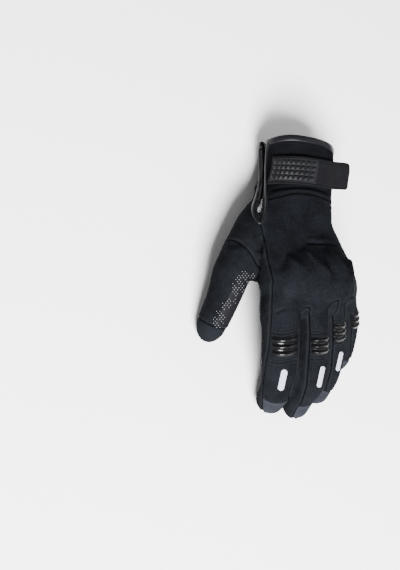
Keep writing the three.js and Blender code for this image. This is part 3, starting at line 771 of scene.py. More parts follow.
def fieldsOf(p):
    # how far each point lies inside each cut, negative outside
    x, y, z = p.T
    seen = onPhoto(p)
    known = {name: tube.measure(p) for name, tube in fingers.items()}
    # how much nearer each finger is than its neighbours
    own = {name: np.min([known[other][3] for other in strips if other != name], axis=0) - known[name][3]
           for name in strips}
    thumbOff = thumb.measure(p)[3]
    across, out, gap, _ = slitPlace(p)
    fields = {
        "rim": lineAt(rimLine, x) - y,
        "slit": (np.where(between(out, slitCut), gap - np.abs(across), -5)
                 + np.where(y < slitCut["end"], -5, 0)),
        "cuffBack": np.minimum(y - lineAt(wristLine, x), z - cuffCut["side"]),
        "cuffPalm": np.minimum(y - cuffCut["palmStart"], cuffCut["side"] - z),
        "thumb": np.minimum(inOutline(thumbPlane, p[:, :2]), thumbCut["reach"] - thumbOff),
    }
    back = least([rightOf(backSide, seen), hand.measure(p)[2] - backCut["side"],
                  y - lineAt(backEndLine, x)])
    for name, strip in strips.items():
        t, a, up, off = known[name]
        limits = [strip["half"] - np.abs(a), up - strip["low"], (strip["cap"] - t) * rowLength,
                  backCut["stripStart"] - y, backCut["stripReach"] - off, own[name] + 1]
        limits += [sign * rightOf(line, seen) for sign, line in zip((1, -1), stripSides[name]) if line]
        back = joinRound(back, least(limits), backCut["corner"])
    fields["back"] = back
    for name, strip in strips.items():
        point, along = fingers[name].frames(np.array([strip["cap"]]))[:2]
        limits = [(p - point[0]) @ along[0], known[name][2] + 0.5, capReach - known[name][3], own[name]]
        if name in ("index", "middle"):
            limits.append(rightOf(stripSides[name][0], seen))
        fields[name + "Cap"] = least(limits)
    point, along = thumb.frames(np.array([thumbCut["cap"]]), thumbCut["capTurn"])[:2]
    height = thumb.measure(p, thumbCut["capTurn"])[2]
    fields["thumbCap"] = least([(p - point[0]) @ along[0], height + 1, capReach - thumbOff])
    return fields


fields = fieldsOf(places(skin))
for name, values in fields.items():
    setLayer(skin, name, values)
for name in fields:
    cutAlong(skin, name)
print("skin cut:", len(skin.verts), "points")

means = {name: faceMeans(skin, name) for name in fields}
isThumb = means["thumb"] > 0
panelOf = np.full(len(skin.faces), "palm_panel", dtype=object)
for name in strips:
    panelOf[means[name + "Cap"] > 0] = name + "_tip"
for name, inside in [
    ("back_panel", means["back"] > 0), ("thumb_panel", isThumb),
    ("thumb_tip", isThumb & (means["thumbCap"] > 0)), ("cuff_palm", means["cuffPalm"] > 0),
    ("cuff_back", means["cuffBack"] > 0), ("gone", (means["rim"] < 0) | (means["slit"] > 0)),
]:
    panelOf[inside] = name
names = sorted(set(panelOf) - {"gone"})
marks = skin.faces.layers.int.new("panel")
for face, which in zip(skin.faces, panelOf):
    face[marks] = names.index(which) if which != "gone" else -1
keepFaces(skin, panelOf != "gone")
print("panels:", {n: int((panelOf == n).sum()) for n in names})

# Seams, folds and the padded knuckles

farFromSeam = 9.0


def seamDistance():
    # how far each point of the skin lies from the nearest seam
    spots = []
    for edge in skin.edges:
        if len({f[marks] for f in edge.link_faces}) == 2:
            a, b = (np.array(v.co) for v in edge.verts)
            spots += [a + (b - a) * f for f in (0, 0.25, 0.5, 0.75)]
    tree = KDTree(len(spots))
    for i, spot in enumerate(spots):
        tree.insert(spot, i)
    tree.balance()
    return np.array([min(tree.find(v.co)[2], farFromSeam) for v in skin.verts])


# rows of stitches on the back, as lines on the photograph
backRows = [
    [(272.6, 329.9), (282.9, 331.6), (298.4, 328.0)], [(272.0, 333.2), (282.9, 335.0), (297.8, 331.4)],
    [(269.5, 359.2), (281, 360.4), (296.4, 357.2)], [(270.2, 362.2), (281.4, 363.6), (296.2, 360.4)],
    [(310.2, 331.0), (318.6, 332.0), (327.6, 329.6)], [(310.0, 334.2), (318.6, 335.1), (327.4, 332.8)],
    [(310.0, 356.6), (318.0, 357.1), (326.0, 355.9)], [(310.0, 359.5), (318.0, 360.0), (325.8, 358.8)],
    [(333.6, 320.6), (338.0, 321.0), (343.2, 319.6)], [(334.4, 343.6), (339.0, 343.8), (343.4, 342.6)],
    [(269, 197.7), (280, 194.2), (290, 192.5), (300, 192.0), (310, 193.0), (320, 197.0), (330, 204)],
    [(271, 144.6), (282, 142.9), (295, 142.6), (310, 145.4), (325, 151)],
]
# folds on the back, as lines on the photograph: points, width in mm, height in mm
backFolds = [
    ([(271.5, 331.5), (282.9, 333.3), (298.6, 329.6)], 1.3, -0.6),
    ([(269.0, 360.7), (281.2, 362.0), (297, 358.7)], 1.3, -0.6),
    ([(309.6, 332.6), (318.6, 333.6), (328.2, 331.1)], 1.3, -0.6),
    ([(309.6, 358.1), (318, 358.6), (326.6, 357.2)], 1.3, -0.6),
    ([(305, 242.8), (312, 242.6), (324, 243.2), (338.7, 245)], 1.2, -1.6),
    ([(305, 239.5), (315, 239), (326, 239.6), (338, 241)], 1.8, 0.6),
    ([(304, 268), (305.6, 276), (306.4, 290)], 2.2, -1.0),
    ([(327.5, 268), (329.2, 274), (329.4, 284), (326.6, 296)], 1.6, -1.5),
    ([(331.2, 273), (331.4, 283), (328.8, 295)], 1.1, 0.8),
    ([(344.4, 270), (346.6, 279), (344, 290), (338.6, 301)], 1.6, -1.5),
    ([(348, 275), (348.6, 281), (346, 290), (340.6, 300)], 1.1, 0.8),
    ([(262, 236), (261, 245), (258.5, 253)], 1.6, -1.7),
    ([(264, 240), (264.5, 250), (262, 258)], 1.8, 0.8),
    ([(228, 247), (238, 243.5), (250, 243)], 3.0, -0.9),
    ([(224, 252), (236, 249), (248, 251)], 3.2, 0.6),
    ([(268, 195.5), (280, 191.5), (299, 190), (315, 191.5), (331, 199)], 1.7, 0.8),
    ([(268, 190.5), (280, 188), (300, 186.8), (316, 188.3), (331, 193.5)], 1.3, -0.9),
    ([(275, 313), (280, 310.5), (286, 308.5)], 1.1, -1.3),
    ([(275, 318), (281, 316), (290, 314)], 1.8, 0.35),
    ([(291, 299), (306, 300), (321, 300.5), (329, 297)], 2.0, -0.9),
    ([(284, 306), (296, 309), (302, 315)], 2.2, -0.5),
    ([(300, 214), (312, 226), (322, 240)], 6.0, -0.5),
    ([(285, 228), (281, 244), (283, 262)], 7.0, 0.5),
    ([(236, 262), (226, 284), (217, 306)], 5.0, 0.6),
    ([(246, 224), (240, 234), (236, 242)], 4.0, -0.6),
    ([(266, 262), (276, 268), (286, 266)], 3.5, -0.6),
]
# folds on the palm, as lines on the view of the palm
palmFolds = [
    ([(118, 276), (128, 268), (142, 262)], 3.0, -1.2),
    ([(112, 284), (124, 280), (136, 272)], 3.0, 0.6),
    ([(118, 352), (134, 347), (154, 351)], 2.4, -1.1),
    ([(116, 357), (134, 353), (156, 357)], 2.2, 0.7),
    ([(184, 226), (194, 230), (203, 228)], 1.6, -0.8),
    ([(106, 316), (120, 336), (126, 352)], 4.0, -0.7),
    ([(176, 300), (182, 322), (178, 344)], 5.0, -0.6),
    ([(74, 238), (88, 244), (98, 256)], 3.0, -0.7),
    ([(128, 206), (122, 209), (116, 208)], 2.2, -0.5),
    ([(162, 200), (154, 204), (146, 203)], 2.2, -0.5),
]

# the knuckle guard under the cloth, on the photograph: where it starts, and where it is at its height
guardStart = np.array([
    (279, 268), (283, 261), (287, 254), (295, 247.5), (306, 245.6), (317.6, 246), (331, 248.3),
    (340, 251), (347, 257), (353, 268),
])
guardFull = np.array([
    (278, 275), (287, 263), (295, 279), (304.5, 256), (315.5, 283), (326, 259), (335, 283), (342, 263),
    (350, 272),
])
guardLook = dict(height=5.7, lean=0.6, leanFrom=252, leanOver=26, shortest=5, left=(278, 290),
                 right=(347, 356), end=(282, 306))
# slow unevenness of stuffed cloth: height, how it runs over x, y and z, and its shift
swells = [
    (0.22, (0.11, 0.07, 0.05), 0.4), (0.18, (-0.06, 0.15, 0.09), 1.7), (0.14, (0.19, -0.12, 0.11), 3.1),
    (0.10, (0.05, 0.28, -0.16), 0.9), (0.08, (0.33, 0.11, 0.2), 2.2),
]
# the groove along a seam and the swelling beside it
seamForm = dict(depth=0.75, wide=0.9, bead=0.28, beadAt=2.4, beadWide=1.2)
# the ground inside the loop of tape lies lower
ventGround = dict(low=-12, high=16, end=41, depth=1.0, slope=(0.55, 0.95))
# rows of stitches count as this far from a seam, so they get the painted highlight and no painted shade
stitchHighlightShift = 0.95
foldEnds = 0.12


def foldLift(lift, folds, seen, scale, mask):
    for line, wide, high in folds:
        gap, run = polyDistance(rounded(line, closed=False), seen)
        ends = smoothstep(0, foldEnds, run) * (1 - smoothstep(1 - foldEnds, 1, run))
        lift += mask * ends * high * np.exp(-(gap * scale / wide) ** 2)


def guardLift(u, v):
    guard = guardLook
    lean = u - guard["lean"] * np.clip(v - guard["leanFrom"], 0, guard["leanOver"])
    start = np.interp(u, *guardStart.T)
    reach = np.maximum(np.interp(lean, *guardFull.T) - start, guard["shortest"])
    share = smoothstep(0, 1, (v - start) / reach) * (1 - smoothstep(*guard["end"], v))
    return share * smoothstep(*guard["left"], u) * (1 - smoothstep(*guard["right"], u)) * guard["height"]


def shapeSkin():
    seam = seamDistance()
    p, n = places(skin), normals(skin)
    seen = onPhoto(p)
    facing = smoothstep(0.0, 0.35, n @ viewBack)
    lift = np.zeros(len(p))
    foldLift(lift, backFolds, seen, perPixel, facing)
    foldLift(lift, palmFolds, onPalm(p), palmView["perPixel"], smoothstep(0.1, 0.5, -n[:, 2]))
    lift += facing * guardLift(*seen.T)
    lift += sum(high * np.sin(p @ np.array(run) + shift) for high, run, shift in swells)
    lift -= seamForm["depth"] * np.exp(-(seam / seamForm["wide"]) ** 2)
    lift += seamForm["bead"] * np.exp(-((seam - seamForm["beadAt"]) / seamForm["beadWide"]) ** 2)
    across, out, _, arms = slitPlace(p)
    inLoop = 1 - smoothstep(*ventGround["slope"], np.abs(across) / np.maximum(arms, 0.5))
    near = between(out, ventGround) & (p[:, 1] > ventGround["end"]) & (n @ slitOut > 0)
    lift -= ventGround["depth"] * np.where(near, inLoop, 0)
    p = p + n * lift[:, None]
    # what lies on a table is flattened there
    p[:, 2] = np.maximum(p[:, 2], 0.05)
    setPlaces(skin, p)
    # the painted highlight beside a seam is also painted along each row of stitches
    for row in backRows:
        gap, _ = polyDistance(rounded(row, closed=False), seen)
        seam = np.where(facing > 0.5, np.minimum(seam, gap * perPixel + stitchHighlightShift), seam)
    setLayer(skin, "seam", np.minimum(seam, farFromSeam))
    skin.normal_update()


shapeSkin()
print("skin shaped")

ground = BVHTree.FromBMesh(skin)


def pickAlong(origin, way):
    # the first point of the skin on a ray, and its normal
    spot, normal, _, _ = ground.ray_cast(Vector(origin), Vector(way))
    return (np.array(spot), np.array(normal)) if spot else (None, None)


def pick(u, v):
    # the point of the skin seen at a pixel of the photograph
    way = (viewRight * (u - photoView["centre"][0]) - viewUp * (v - photoView["centre"][1])) * perPixel
    return pickAlong(viewEye, unit(viewTarget + way - viewEye))


def pickPalm(u, v):
    left, top = palmView["centre"]
    x = palmView["x"] + (u - left) * palmView["perPixel"]
    return pickAlong((x, v - top, palmView["under"]), (0, 0, 1))


def nearestSkin(point):
    spot, normal, _, _ = ground.find_nearest(Vector(point))
    return np.array(spot), np.array(normal)


# Panels of cloth

wallThickness = 2.0
panels = {
    "back_panel": ("softshell", "softshell"), "palm_panel": ("suede", "suede"),
    "thumb_panel": ("softshell", "softshell"), "cuff_back": ("cuffCloth", "cuff_cloth"),
    "cuff_palm": ("cuffCloth", "cuff_cloth"),
    **{name + "_tip": ("tipSuede", "tip_suede") for name in fingers},
    "thumb_tip": ("thumbSuede", "tip_suede"),
}
fingerParts = {"back_panel": "_back", "palm_panel": "_sleeve"}
for name, (look, slot) in panels.items():
    bm = skin.copy()
    layer = bm.faces.layers.int["panel"]
    which = names.index(name)
    keepFaces(bm, [f[layer] == which for f in bm.faces])
    dropLayers(bm, fields)
    stands = [name]
    if name in fingerParts:
        stands += [finger + fingerParts[name] for finger in fingers]
    finishPiece(bm, name, [look, "lining"], stands, wall=wallThickness)
print("panels made:", len(panels))

# Overlaid patches

# cloth within the margin round a patch is taken along until the patch is cut
patchMargin = 3.5


def overlay(name, field, spec, cuts=0):
    # a patch of the skin where the field is positive, standing proud with its edge tucked in
    bm = skin.copy()
    values = field(places(bm), normals(bm))
    near = {v.index for v, value in zip(bm.verts, values) if value > -patchMargin}
    keepFaces(bm, [all(v.index in near for v in f.verts) for f in bm.faces])
    if cuts:
        bmesh.ops.subdivide_edges(bm, edges=bm.edges[:], cuts=cuts, use_grid_fill=True, smooth=0.6)
    dropLayers(bm, list(fields) + ["seam"])
    setLayer(bm, "patch", field(places(bm), normals(bm)))
    cutAlong(bm, "patch", snap=0.06)
    keepFaces(bm, faceMeans(bm, "patch") > 0)
    way = normals(bm)
    edge = np.maximum(getLayer(bm, "patch"), 0)
    high = spec["rise"] * (1 - np.exp(-(edge / spec["edge"]) ** 1.5)) - spec["tuck"] * np.exp(-edge / 0.3)
    if "line" in spec:
        # a sunk line for the stitches, and a raised field inside it
        at, wide, depth = spec["line"]
        high += spec["field"] * smoothstep(*spec["fieldEdge"], edge)
        high -= depth * np.exp(-((edge - at) / wide) ** 2)
    p = places(bm) + way * high[:, None]
    p[:, 2] = np.maximum(p[:, 2], 0.02)
    setPlaces(bm, p)
    # distance from the edge: seamed finishes paint shade at the edge and a highlight band inside it
    setLayer(bm, "seam", np.minimum(edge + spec.get("soft", 0.0), farFromSeam))
    dropLayers(bm, ["patch"])
    finishPiece(bm, name, [spec["finish"]], spec.get("stands", (name,)))


def nearestFinger(name, points, off):
    # how much nearer this finger is than its neighbours
    return np.min([fingers[other].measure(points)[3] for other in fingers if other != name], axis=0) - off


reflectors = {
    "index": dict(top=(284.3, 372.7), low=(281.0, 387.6), radius=2.75),
    "middle": dict(top=(322.8, 368.5), low=(319.2, 385.2), radius=2.05),
    "ring": dict(top=(341.3, 353.6), low=(337.9, 369.1), radius=1.75),
}
film = dict(finish="reflector", slot="reflective", rise=0.45, edge=0.35, tuck=0.25, soft=3.0)
barReach = 4.2


def barField(name):
    bar = reflectors[name]
    top, low = pick(*bar["top"])[0], pick(*bar["low"])[0]

    def field(points, way):
        gap, _ = polyDistance([bar["top"], bar["low"]], onPhoto(points))
        near = nearestFinger(name, points, fingers[name].measure(points)[3])
        run = np.clip((points - top) @ (low - top) / ((low - top) @ (low - top)), 0, 1)[:, None]
        reach = barReach - np.linalg.norm(points - top - run * (low - top), axis=1)
        return least([bar["radius"] - gap * perPixel, (way @ viewBack - 0.1) * 9, near, reach])
    return field


for name in reflectors:
    overlay(name + "_reflector", barField(name), film, cuts=2)

padLook = dict(finish="touchPad", slot="touch_pad", rise=0.6, edge=0.6, tuck=0.35)
gripLook = dict(finish="facing", slot="grip_suede", rise=0.35, edge=0.8, tuck=0.3)
# trims on a fingertip: side is -1 on the underside; startRow and endRow are the length of a row in mm
tipTrims = {
    "index_touch_pad": dict(start=4.7, left=9.2, right=9.2, low=2.6, startRow=15),
    "middle_touch_pad": dict(start=4.8, left=9.2, right=9.2, low=2.6, startRow=15),
    "thumb_touch_pad": dict(turn=-40, start=3.5, bow=0.35, bowWide=11, left=11.8, right=11.8, low=1.5,
                            startRow=17),
    "thumb_grip": dict(turn=42, start=2.75, end=4.98, bow=0.35, bowAt=-2, left=11.5, right=8.5, low=3.5,
                       side=1, startRow=19, endRow=16),
}
plainTrim = dict(turn=0.0, bow=0.0, bowAt=0, bowWide=10, side=-1)


def trimField(name):
    trim = {**plainTrim, **tipTrims[name]}
    finger = name.split("_")[0]
    tube = fingers.get(finger, thumb)

    def field(points, way):
        t, across, up, off = tube.measure(points, trim["turn"])
        start = trim["start"] + trim["bow"] * ((across - trim["bowAt"]) / trim["bowWide"]) ** 2
        limits = [across + trim["left"], trim["right"] - across, trim["side"] * up - trim["low"],
                  (t - start) * trim["startRow"], capReach - off]
        if "end" in trim:
            limits.append((trim["end"] - t) * trim["endRow"])
        if finger in fingers:
            limits.append(nearestFinger(finger, points, off))
        return least(limits)
    return field


for name in ("index_touch_pad", "middle_touch_pad"):
    overlay(name, trimField(name), padLook)

ventFacing = dict(low=-9, high=14, end=42, start=108)


def facingField(points, way):
    # inside the loop of tape
    across, out, _, arms = slitPlace(points)
    near = between(out, ventFacing) & (way @ slitOut > 0)
    return least([np.where(near, arms - np.abs(across), -9), points[:, 1] - ventFacing["end"],
                  ventFacing["start"] - points[:, 1]])


facingLook = dict(finish="facing", slot="binding", rise=0.3, edge=0.5, tuck=0.2, stands=())
overlay("vent_facing", facingField, facingLook)
overlay("thumb_touch_pad", trimField("thumb_touch_pad"), padLook)
overlay("thumb_grip", trimField("thumb_grip"), gripLook)

# outlines on the view of the palm
gripOutline = [
    (104, 247), (130, 250), (152, 254), (176, 262), (193, 272), (193, 286), (191, 300), (187, 315),
    (170, 317), (152, 317), (151, 329), (152, 340), (134, 333), (115, 319), (98, 303), (93, 291),
    (92, 276), (101, 262),
]
patchOutline = [
    (152.5, 320), (158, 318.4), (180, 318.4), (184, 321), (174, 338), (162, 356.5), (158.5, 356),
    (155, 344),
]
crotchPatch = dict(at=(-18.5, -4.5), size=(9.0, 8.5), gap=0.4)


def palmField(outline, cuts):
    line = rounded(outline, cuts)

    def field(points, way):
        return np.minimum(inOutline(line, onPalm(points)) * palmView["perPixel"], (-0.35 - way[:, 2]) * 9)
    return field


def crotchField(points, way):
    off = (points[:, :2] - np.array(crotchPatch["at"])) / np.array(crotchPatch["size"])
    return np.where(way[:, 2] < 0.2, (1 - np.linalg.norm(off, axis=1)) * 8, -9)


def gripField(points, way):
    panel = palmField(gripOutline, 4)(points, way)
    return np.minimum(panel, -crotchField(points, way) - crotchPatch["gap"])


palmGripLook = dict(finish="gripSuede", slot="grip_suede", rise=0.7, edge=0.9, tuck=0.3)
crotchLook = dict(finish="suede", slot="crotch_patch", rise=0.7, edge=0.8, tuck=0.3)
patchLook = dict(finish="patchRubber", slot="patch_rubber", rise=1.0, edge=0.6, tuck=0.3,
                 line=(2.4, 0.6, 0.5), field=0.7, fieldEdge=(4.2, 5.0))
overlay("palm_grip", gripField, palmGripLook)
overlay("thumb_crotch_patch", crotchField, crotchLook)
overlay("palm_patch", palmField(patchOutline, 3), patchLook, cuts=1)
print("patches sewn on")


# Ridged panels over the finger joints

def gridForm(columns, rows):
    # a flat grid, and where each of its points lies in columns and rows
    bm = bmesh.new()
    bmesh.ops.create_grid(bm, x_segments=columns, y_segments=rows, size=1.0)
    flat = places(bm)
    return bm, (flat[:, 0] + 1) / 2, (flat[:, 1] + 1) / 2


ribs = {
    "index": dict(start=2.16, end=3.07, low=-13.5, high=11.2, ridge=2.2),
    "middle": dict(start=2.2, end=3.07, low=-10.8, high=9.8, ridge=2.0),
    "ring": dict(start=1.78, end=2.75, low=-9.2, high=8.0, ridge=1.8),
    "pinky": dict(start=1.47, end=2.45, low=-8.0, high=7.4, ridge=1.6),
}
ribForm = dict(sunk=-0.8, base=1.15, ridges=3, softening=22, bow=0.07, back=0.03, ends=0.06,
               endSlope=0.07, sideSlope=0.12, long=18, wide=3, sharp=1.3, round=0.9)


def makeRibs(name, rib):
    form = ribForm
    bm, u, w = gridForm(32, 72)
    aside = u * 2 - 1
    t = rib["start"] + (rib["end"] - rib["start"]) * (w + form["bow"] * (1 - aside ** 2) - form["back"])
    point, along, side, up, half, thick = fingers[name].frames(t)
    low, high = (np.arcsin(np.clip(rib[end] / (half + 0.8), -0.95, 0.95)) for end in ("low", "high"))
    angle = low + (high - low) * u
    out = up * np.cos(angle)[:, None] + side * np.sin(angle)[:, None]
    base = []
    for q, d, h in zip(point, out, np.maximum(half, thick)):
        spot, _ = pickAlong(q + d * (h + 5), -d)
        base.append(spot if spot is not None else q + d * h)
    setPlaces(bm, np.array(base))
    soften(bm, bm.verts, form["softening"])
    f = np.clip((w - form["ends"]) / (1 - 2 * form["ends"]), 0, 1)
    wave = ((1 - np.cos(2 * form["ridges"] * math.pi * f)) / 2) ** form["sharp"]
    fromEnd, fromSide = np.minimum(w, 1 - w), 1 - np.abs(aside)
    border = smoothstep(0, form["endSlope"], fromEnd) * smoothstep(0, form["sideSlope"], fromSide)
    ridge = rib["ridge"] * wave * (1 - aside ** 2) ** form["round"]
    rise = form["sunk"] + border * (form["base"] + ridge)
    setPlaces(bm, places(bm) + out * rise[:, None])
    # distance from the edges in roughly a millimetre, for the gloss, and for painted shade at the edges
    # and a painted highlight band inside them
    setLayer(bm, "seam", np.minimum(fromEnd * form["long"], fromSide * form["wide"]))
    faceAlong(bm, up.mean(0))
    finishPiece(bm, name + "_ribs", ["flexGloss"], (name + "_ribs",))


for name, rib in ribs.items():
    makeRibs(name, rib)
print("ridges made")


# Strap over the cuff

strap = dict(start=2.76, leave=1.05, tab=28, tabLift=3.6, tabDrop=1.5, end=2.06, low=75.4, high=99.4,
             radius=4.5, wall=2.0, bevel=0.35, clear=2.6, crown=0.25, crownEdge=1.4, row=0.35,
             rowAt=1.9, rowWide=0.5, swell=0.25)
straightUp = np.array([0, 0, 1])


def overCuff(lift, angle, y):
    t = np.interp(-y, -hand.line[:, 1], hand.stations)
    point, _, _, _, half, thick = hand.frames(t)
    c, s = np.cos(angle), np.sin(angle)
    x = point[:, 0] + (half + lift) * np.sign(c) * np.abs(c) ** roundness
    z = point[:, 2] + (thick + lift) * np.abs(s) ** roundness
    return np.stack([x, y, z], -1)


def strapPoint(lift, f, across):
    # f runs from the fixed end to where the strap leaves the cuff (1) and on to the end of its tab (2)
    lift = np.broadcast_to(lift, f.shape)
    angle = strap["start"] + (strap["leave"] - strap["start"]) * np.minimum(f, 1)
    level = strap["low"] + (strap["high"] - strap["low"]) * across
    point = overCuff(lift, angle, level)
    way = unit(point - overCuff(lift, angle + 0.1, level))
    out = np.maximum(f - 1, 0)[:, None]
    point = point + way * strap["tab"] * out + out * np.array([0, strap["tabLift"], 0])
    return point - out ** 2 * straightUp * strap["tabDrop"]


def strapNormal(f, across):
    e = 0.01
    du = strapPoint(strap["clear"], f + e, across) - strapPoint(strap["clear"], f - e, across)
    dv = strapPoint(strap["clear"], f, across + e) - strapPoint(strap["clear"], f, across - e)
    way = unit(np.cross(du, dv))
    return way * np.where(way[:, 2:] < 0, -1, 1)


def makeStrap():
    bm, u, w = gridForm(90, 24)
    f = u * strap["end"]
    fromEnd = (strap["end"] - f) * strap["tab"]
    # the corners of the tab are round
    ahead = np.maximum(strap["radius"] - fromEnd, 0)
    pinch = strap["radius"] - np.sqrt(np.maximum(strap["radius"] ** 2 - ahead ** 2, 0))
    pinch /= strap["high"] - strap["low"]
    across = pinch + w * (1 - 2 * pinch)
    edge = np.minimum(np.minimum(across, 1 - across) * (strap["high"] - strap["low"]), fromEnd)
    rise = strap["clear"] + strap["crown"] * smoothstep(0.0, strap["crownEdge"], edge)
    rise -= strap["row"] * np.exp(-((edge - strap["rowAt"]) / strap["rowWide"]) ** 2)
    rise += strap["swell"] * np.sin(f * 7 + 1) * np.sin(across * 4)
    setPlaces(bm, strapPoint(rise, f, across))
    faceAlong(bm, straightUp)
    finishPiece(bm, "wrist_strap", ["strapCloth"], ("wrist_strap",), strap["wall"],
                strap["bevel"])


studs = dict(columns=9, rows=4, start=0.045, end=0.705, low=0.14, high=0.86, height=1.9, rise=0.5,
             sunk=-0.4)
# a rim runs round the studs; its two lines lie this far out, in studs, so the grid has four more steps
rimSteps = (0.42, 0.3)


def makeStuds():
    columns, rows = studs["columns"], studs["rows"]
    lastColumn, lastRow = columns + 4, rows + 4
    bm, u, w = gridForm(lastColumn, lastRow)
    col = np.rint(u * lastColumn).astype(int)
    row = np.rint(w * lastRow).astype(int)
    outer, inner = rimSteps
    columnSpots, rowSpots = (np.array([-outer, -inner, *range(count + 1), count + inner, count + outer])
                             for count in (columns, rows))
    f = studs["start"] + (studs["end"] - studs["start"]) * columnSpots[col] / columns
    across = studs["low"] + (studs["high"] - studs["low"]) * rowSpots[row] / rows
    low = (col == 0) | (col == lastColumn) | (row == 0) | (row == lastRow)
    setPlaces(bm, strapPoint(strap["clear"] + np.where(low, studs["sunk"], studs["rise"]), f, across))
    faceAlong(bm, straightUp)
    inside = (col >= 2) & (col <= lastColumn - 2) & (row >= 2) & (row <= lastRow - 2)
    cells = [face for face in bm.faces if all(inside[v.index] for v in face.verts)]
    bmesh.ops.poke(bm, faces=cells, offset=studs["height"])
    finishPiece(bm, "strap_grip_pad", ["strapRubber"], ("strap_grip_pad",), smooth=False)


makeStrap()
makeStuds()
print("strap made")


# Tapes: the bound rim and the loop of tape along the slit and round the vent

def sweep(path, outward, inward, profile, name):
    # a tape laid along a path: profile points are counted inward along the skin and outward off it
    count = len(profile)
    bm, u, w = gridForm(count, len(path) - 1)
    i = np.rint(u * count).astype(int) % count
    j = np.rint(w * (len(path) - 1)).astype(int)
    profile = np.array(profile, float)
    setPlaces(bm, path[j] + inward[j] * profile[i, 0:1] + outward[j] * profile[i, 1:2])
    bmesh.ops.remove_doubles(bm, verts=bm.verts, dist=0.001)
    ends = [e for e in bm.edges if len(e.link_faces) == 1]
    if ends:
        bmesh.ops.holes_fill(bm, edges=ends, sides=0)
    bmesh.ops.recalc_face_normals(bm, faces=bm.faces)
    finishPiece(bm, name, ["tape"], (name,))


def smoothRun(values, times):
    for _ in range(times):
        values[1:-1] = (values[:-2] + 2 * values[1:-1] + values[2:]) / 4
    return values


rimProfile = [
    (4.9, -0.2), (4.8, 0.55), (4.2, 0.95), (2.4, 1.1), (0.6, 1.05), (-0.5, 0.55), (-0.9, -0.9),
    (-0.5, -2.5), (0.5, -3.05), (2.6, -3.0), (4.4, -2.85), (4.7, -2.2), (3.0, -1.2),
]
rimTape = dict(reach=0.9, gap=2.0, inside=1.5)
tapeProfile = [
    (-1.5, -0.9), (-1.45, 0.15), (-1.0, 0.75), (0.0, 1.0), (1.0, 0.75), (1.45, 0.15), (1.5, -0.9),
    (0.0, -1.2),
]
ventTape = dict(start=112.4, end=41.5, gap=1.6, tip=40.6, far=26, reach=22)
towardCuff = np.array([0, 1, 0])


def bindRim():
    edges = []
    for e in skin.edges:
        if len(e.link_faces) == 1:
            middle = (np.array(e.verts[0].co) + np.array(e.verts[1].co)) / 2
            if abs(middle[1] - lineAt(rimLine, middle[0])) < rimTape["reach"]:
                edges.append(e)
    run = max(chainsOf(edges), key=len)
    path = smoothRun(evenly([v.co[:] for v in run], rimTape["gap"]), 4)
    outward = smoothRun(np.array([nearestSkin(q - towardCuff * rimTape["inside"])[1] for q in path]), 6)
    outward = unit(outward - towardCuff * outward[:, 1:2])
    inward = unit(np.cross(unit(np.gradient(path, axis=0)), outward))
    inward *= np.where(inward[:, 1:2] > 0, -1, 1)
    sweep(path, outward, inward, rimProfile, "cuff_binding")


def bindSlit():
    levels = [*np.arange(ventTape["start"], ventTape["end"], -ventTape["gap"]), ventTape["tip"]]
    arms = {-1: [], 1: []}
    for sign, arm in arms.items():
        for y in levels:
            x, z, _, aside = slitAt(y)
            middle = np.array([x, y, z])
            origin = middle + slitAcross * aside * sign
            spot, way = pickAlong(origin + slitOut * ventTape["far"], -slitOut)
            if spot is None or np.linalg.norm(spot - middle) > ventTape["reach"]:
                spot, way = nearestSkin(origin)
            arm.append((spot, way))
    loop = arms[-1] + arms[1][::-1]
    path = smoothRun(np.array([a[0] for a in loop]), 3)
    outward = unit(smoothRun(np.array([a[1] for a in loop]), 8))
    inward = unit(np.cross(outward, unit(np.gradient(path, axis=0))))
    sweep(path, outward, inward, tapeProfile, "vent_binding")


gusset = dict(start=45.5, long=17.5, half=4.6, depth=2.7, aside=2.6, wall=0.4)


def makeGusset():
    # a pale gusset closes the vent from inside
    bm, u, w = gridForm(8, 14)
    y = gusset["start"] + w * gusset["long"]
    s = slitAt(y)
    spread = gusset["half"] * np.sin(np.clip(w, 0.04, 0.96) * math.pi) ** 0.5
    surface = []
    for middle, a in zip(np.stack([s[:, 0], y, s[:, 1]], -1), (u * 2 - 1) * spread):
        aside = slitAcross * np.sign(a) * gusset["aside"]
        spot, way = nearestSkin(middle + aside)
        surface.append(spot - way * gusset["depth"] - aside + slitAcross * a)
    setPlaces(bm, np.array(surface))
    soften(bm, bm.verts, 3)
    faceAlong(bm, slitOut)
    finishPiece(bm, "vent_gusset", ["paleLining"], (), wall=gusset["wall"])


bindRim()
bindSlit()
makeGusset()
print("tapes made")


# Stitching

palmRows = [
    [(105, 244.4), (130, 247.6), (152, 251.8), (176, 259.6), (194, 269.6)],
    [(105, 242), (130, 245.2), (152, 249.2), (176, 257), (194, 266.6)],
    [(89, 276), (90, 291), (96, 305), (113, 321.5), (132, 335.5), (153, 343)],
    [(96, 276), (97, 290), (102, 301), (118, 316), (136, 329.5), (150, 336)],
    [(125, 300), (145, 308), (160, 312)], [(150, 257), (174, 266), (184, 280), (181, 300)],
    [(155, 321.4), (180, 321.4)], [(179.5, 323), (170, 340), (160.5, 352.5)],
    [(155.5, 324), (157.5, 342), (159, 352)],
    [(100, 345), (110, 358.6), (122, 363.2), (140, 364.6), (160, 365), (179, 361.6)],
]
# rows along the strap, in the strap's own f and across
strapRows = [
    [(0.05, 0.05), (1.0, 0.05), (1.98, 0.05)], [(0.05, 0.95), (1.0, 0.95), (1.98, 0.95)],
    [(1.985, 0.12), (1.985, 0.88)],
]
stitches = {
    "back": dict(gap=1.7, length=2.3, wide=0.95, high=0.5, lean=0.8),
    "wrist": dict(gap=2.4, length=1.8, wide=0.95, high=0.4),
    "palm": dict(gap=2.2, length=1.5, wide=0.5, high=0.5),
    "strap": dict(gap=2.3, length=1.5, wide=0.8, high=0.35),
}


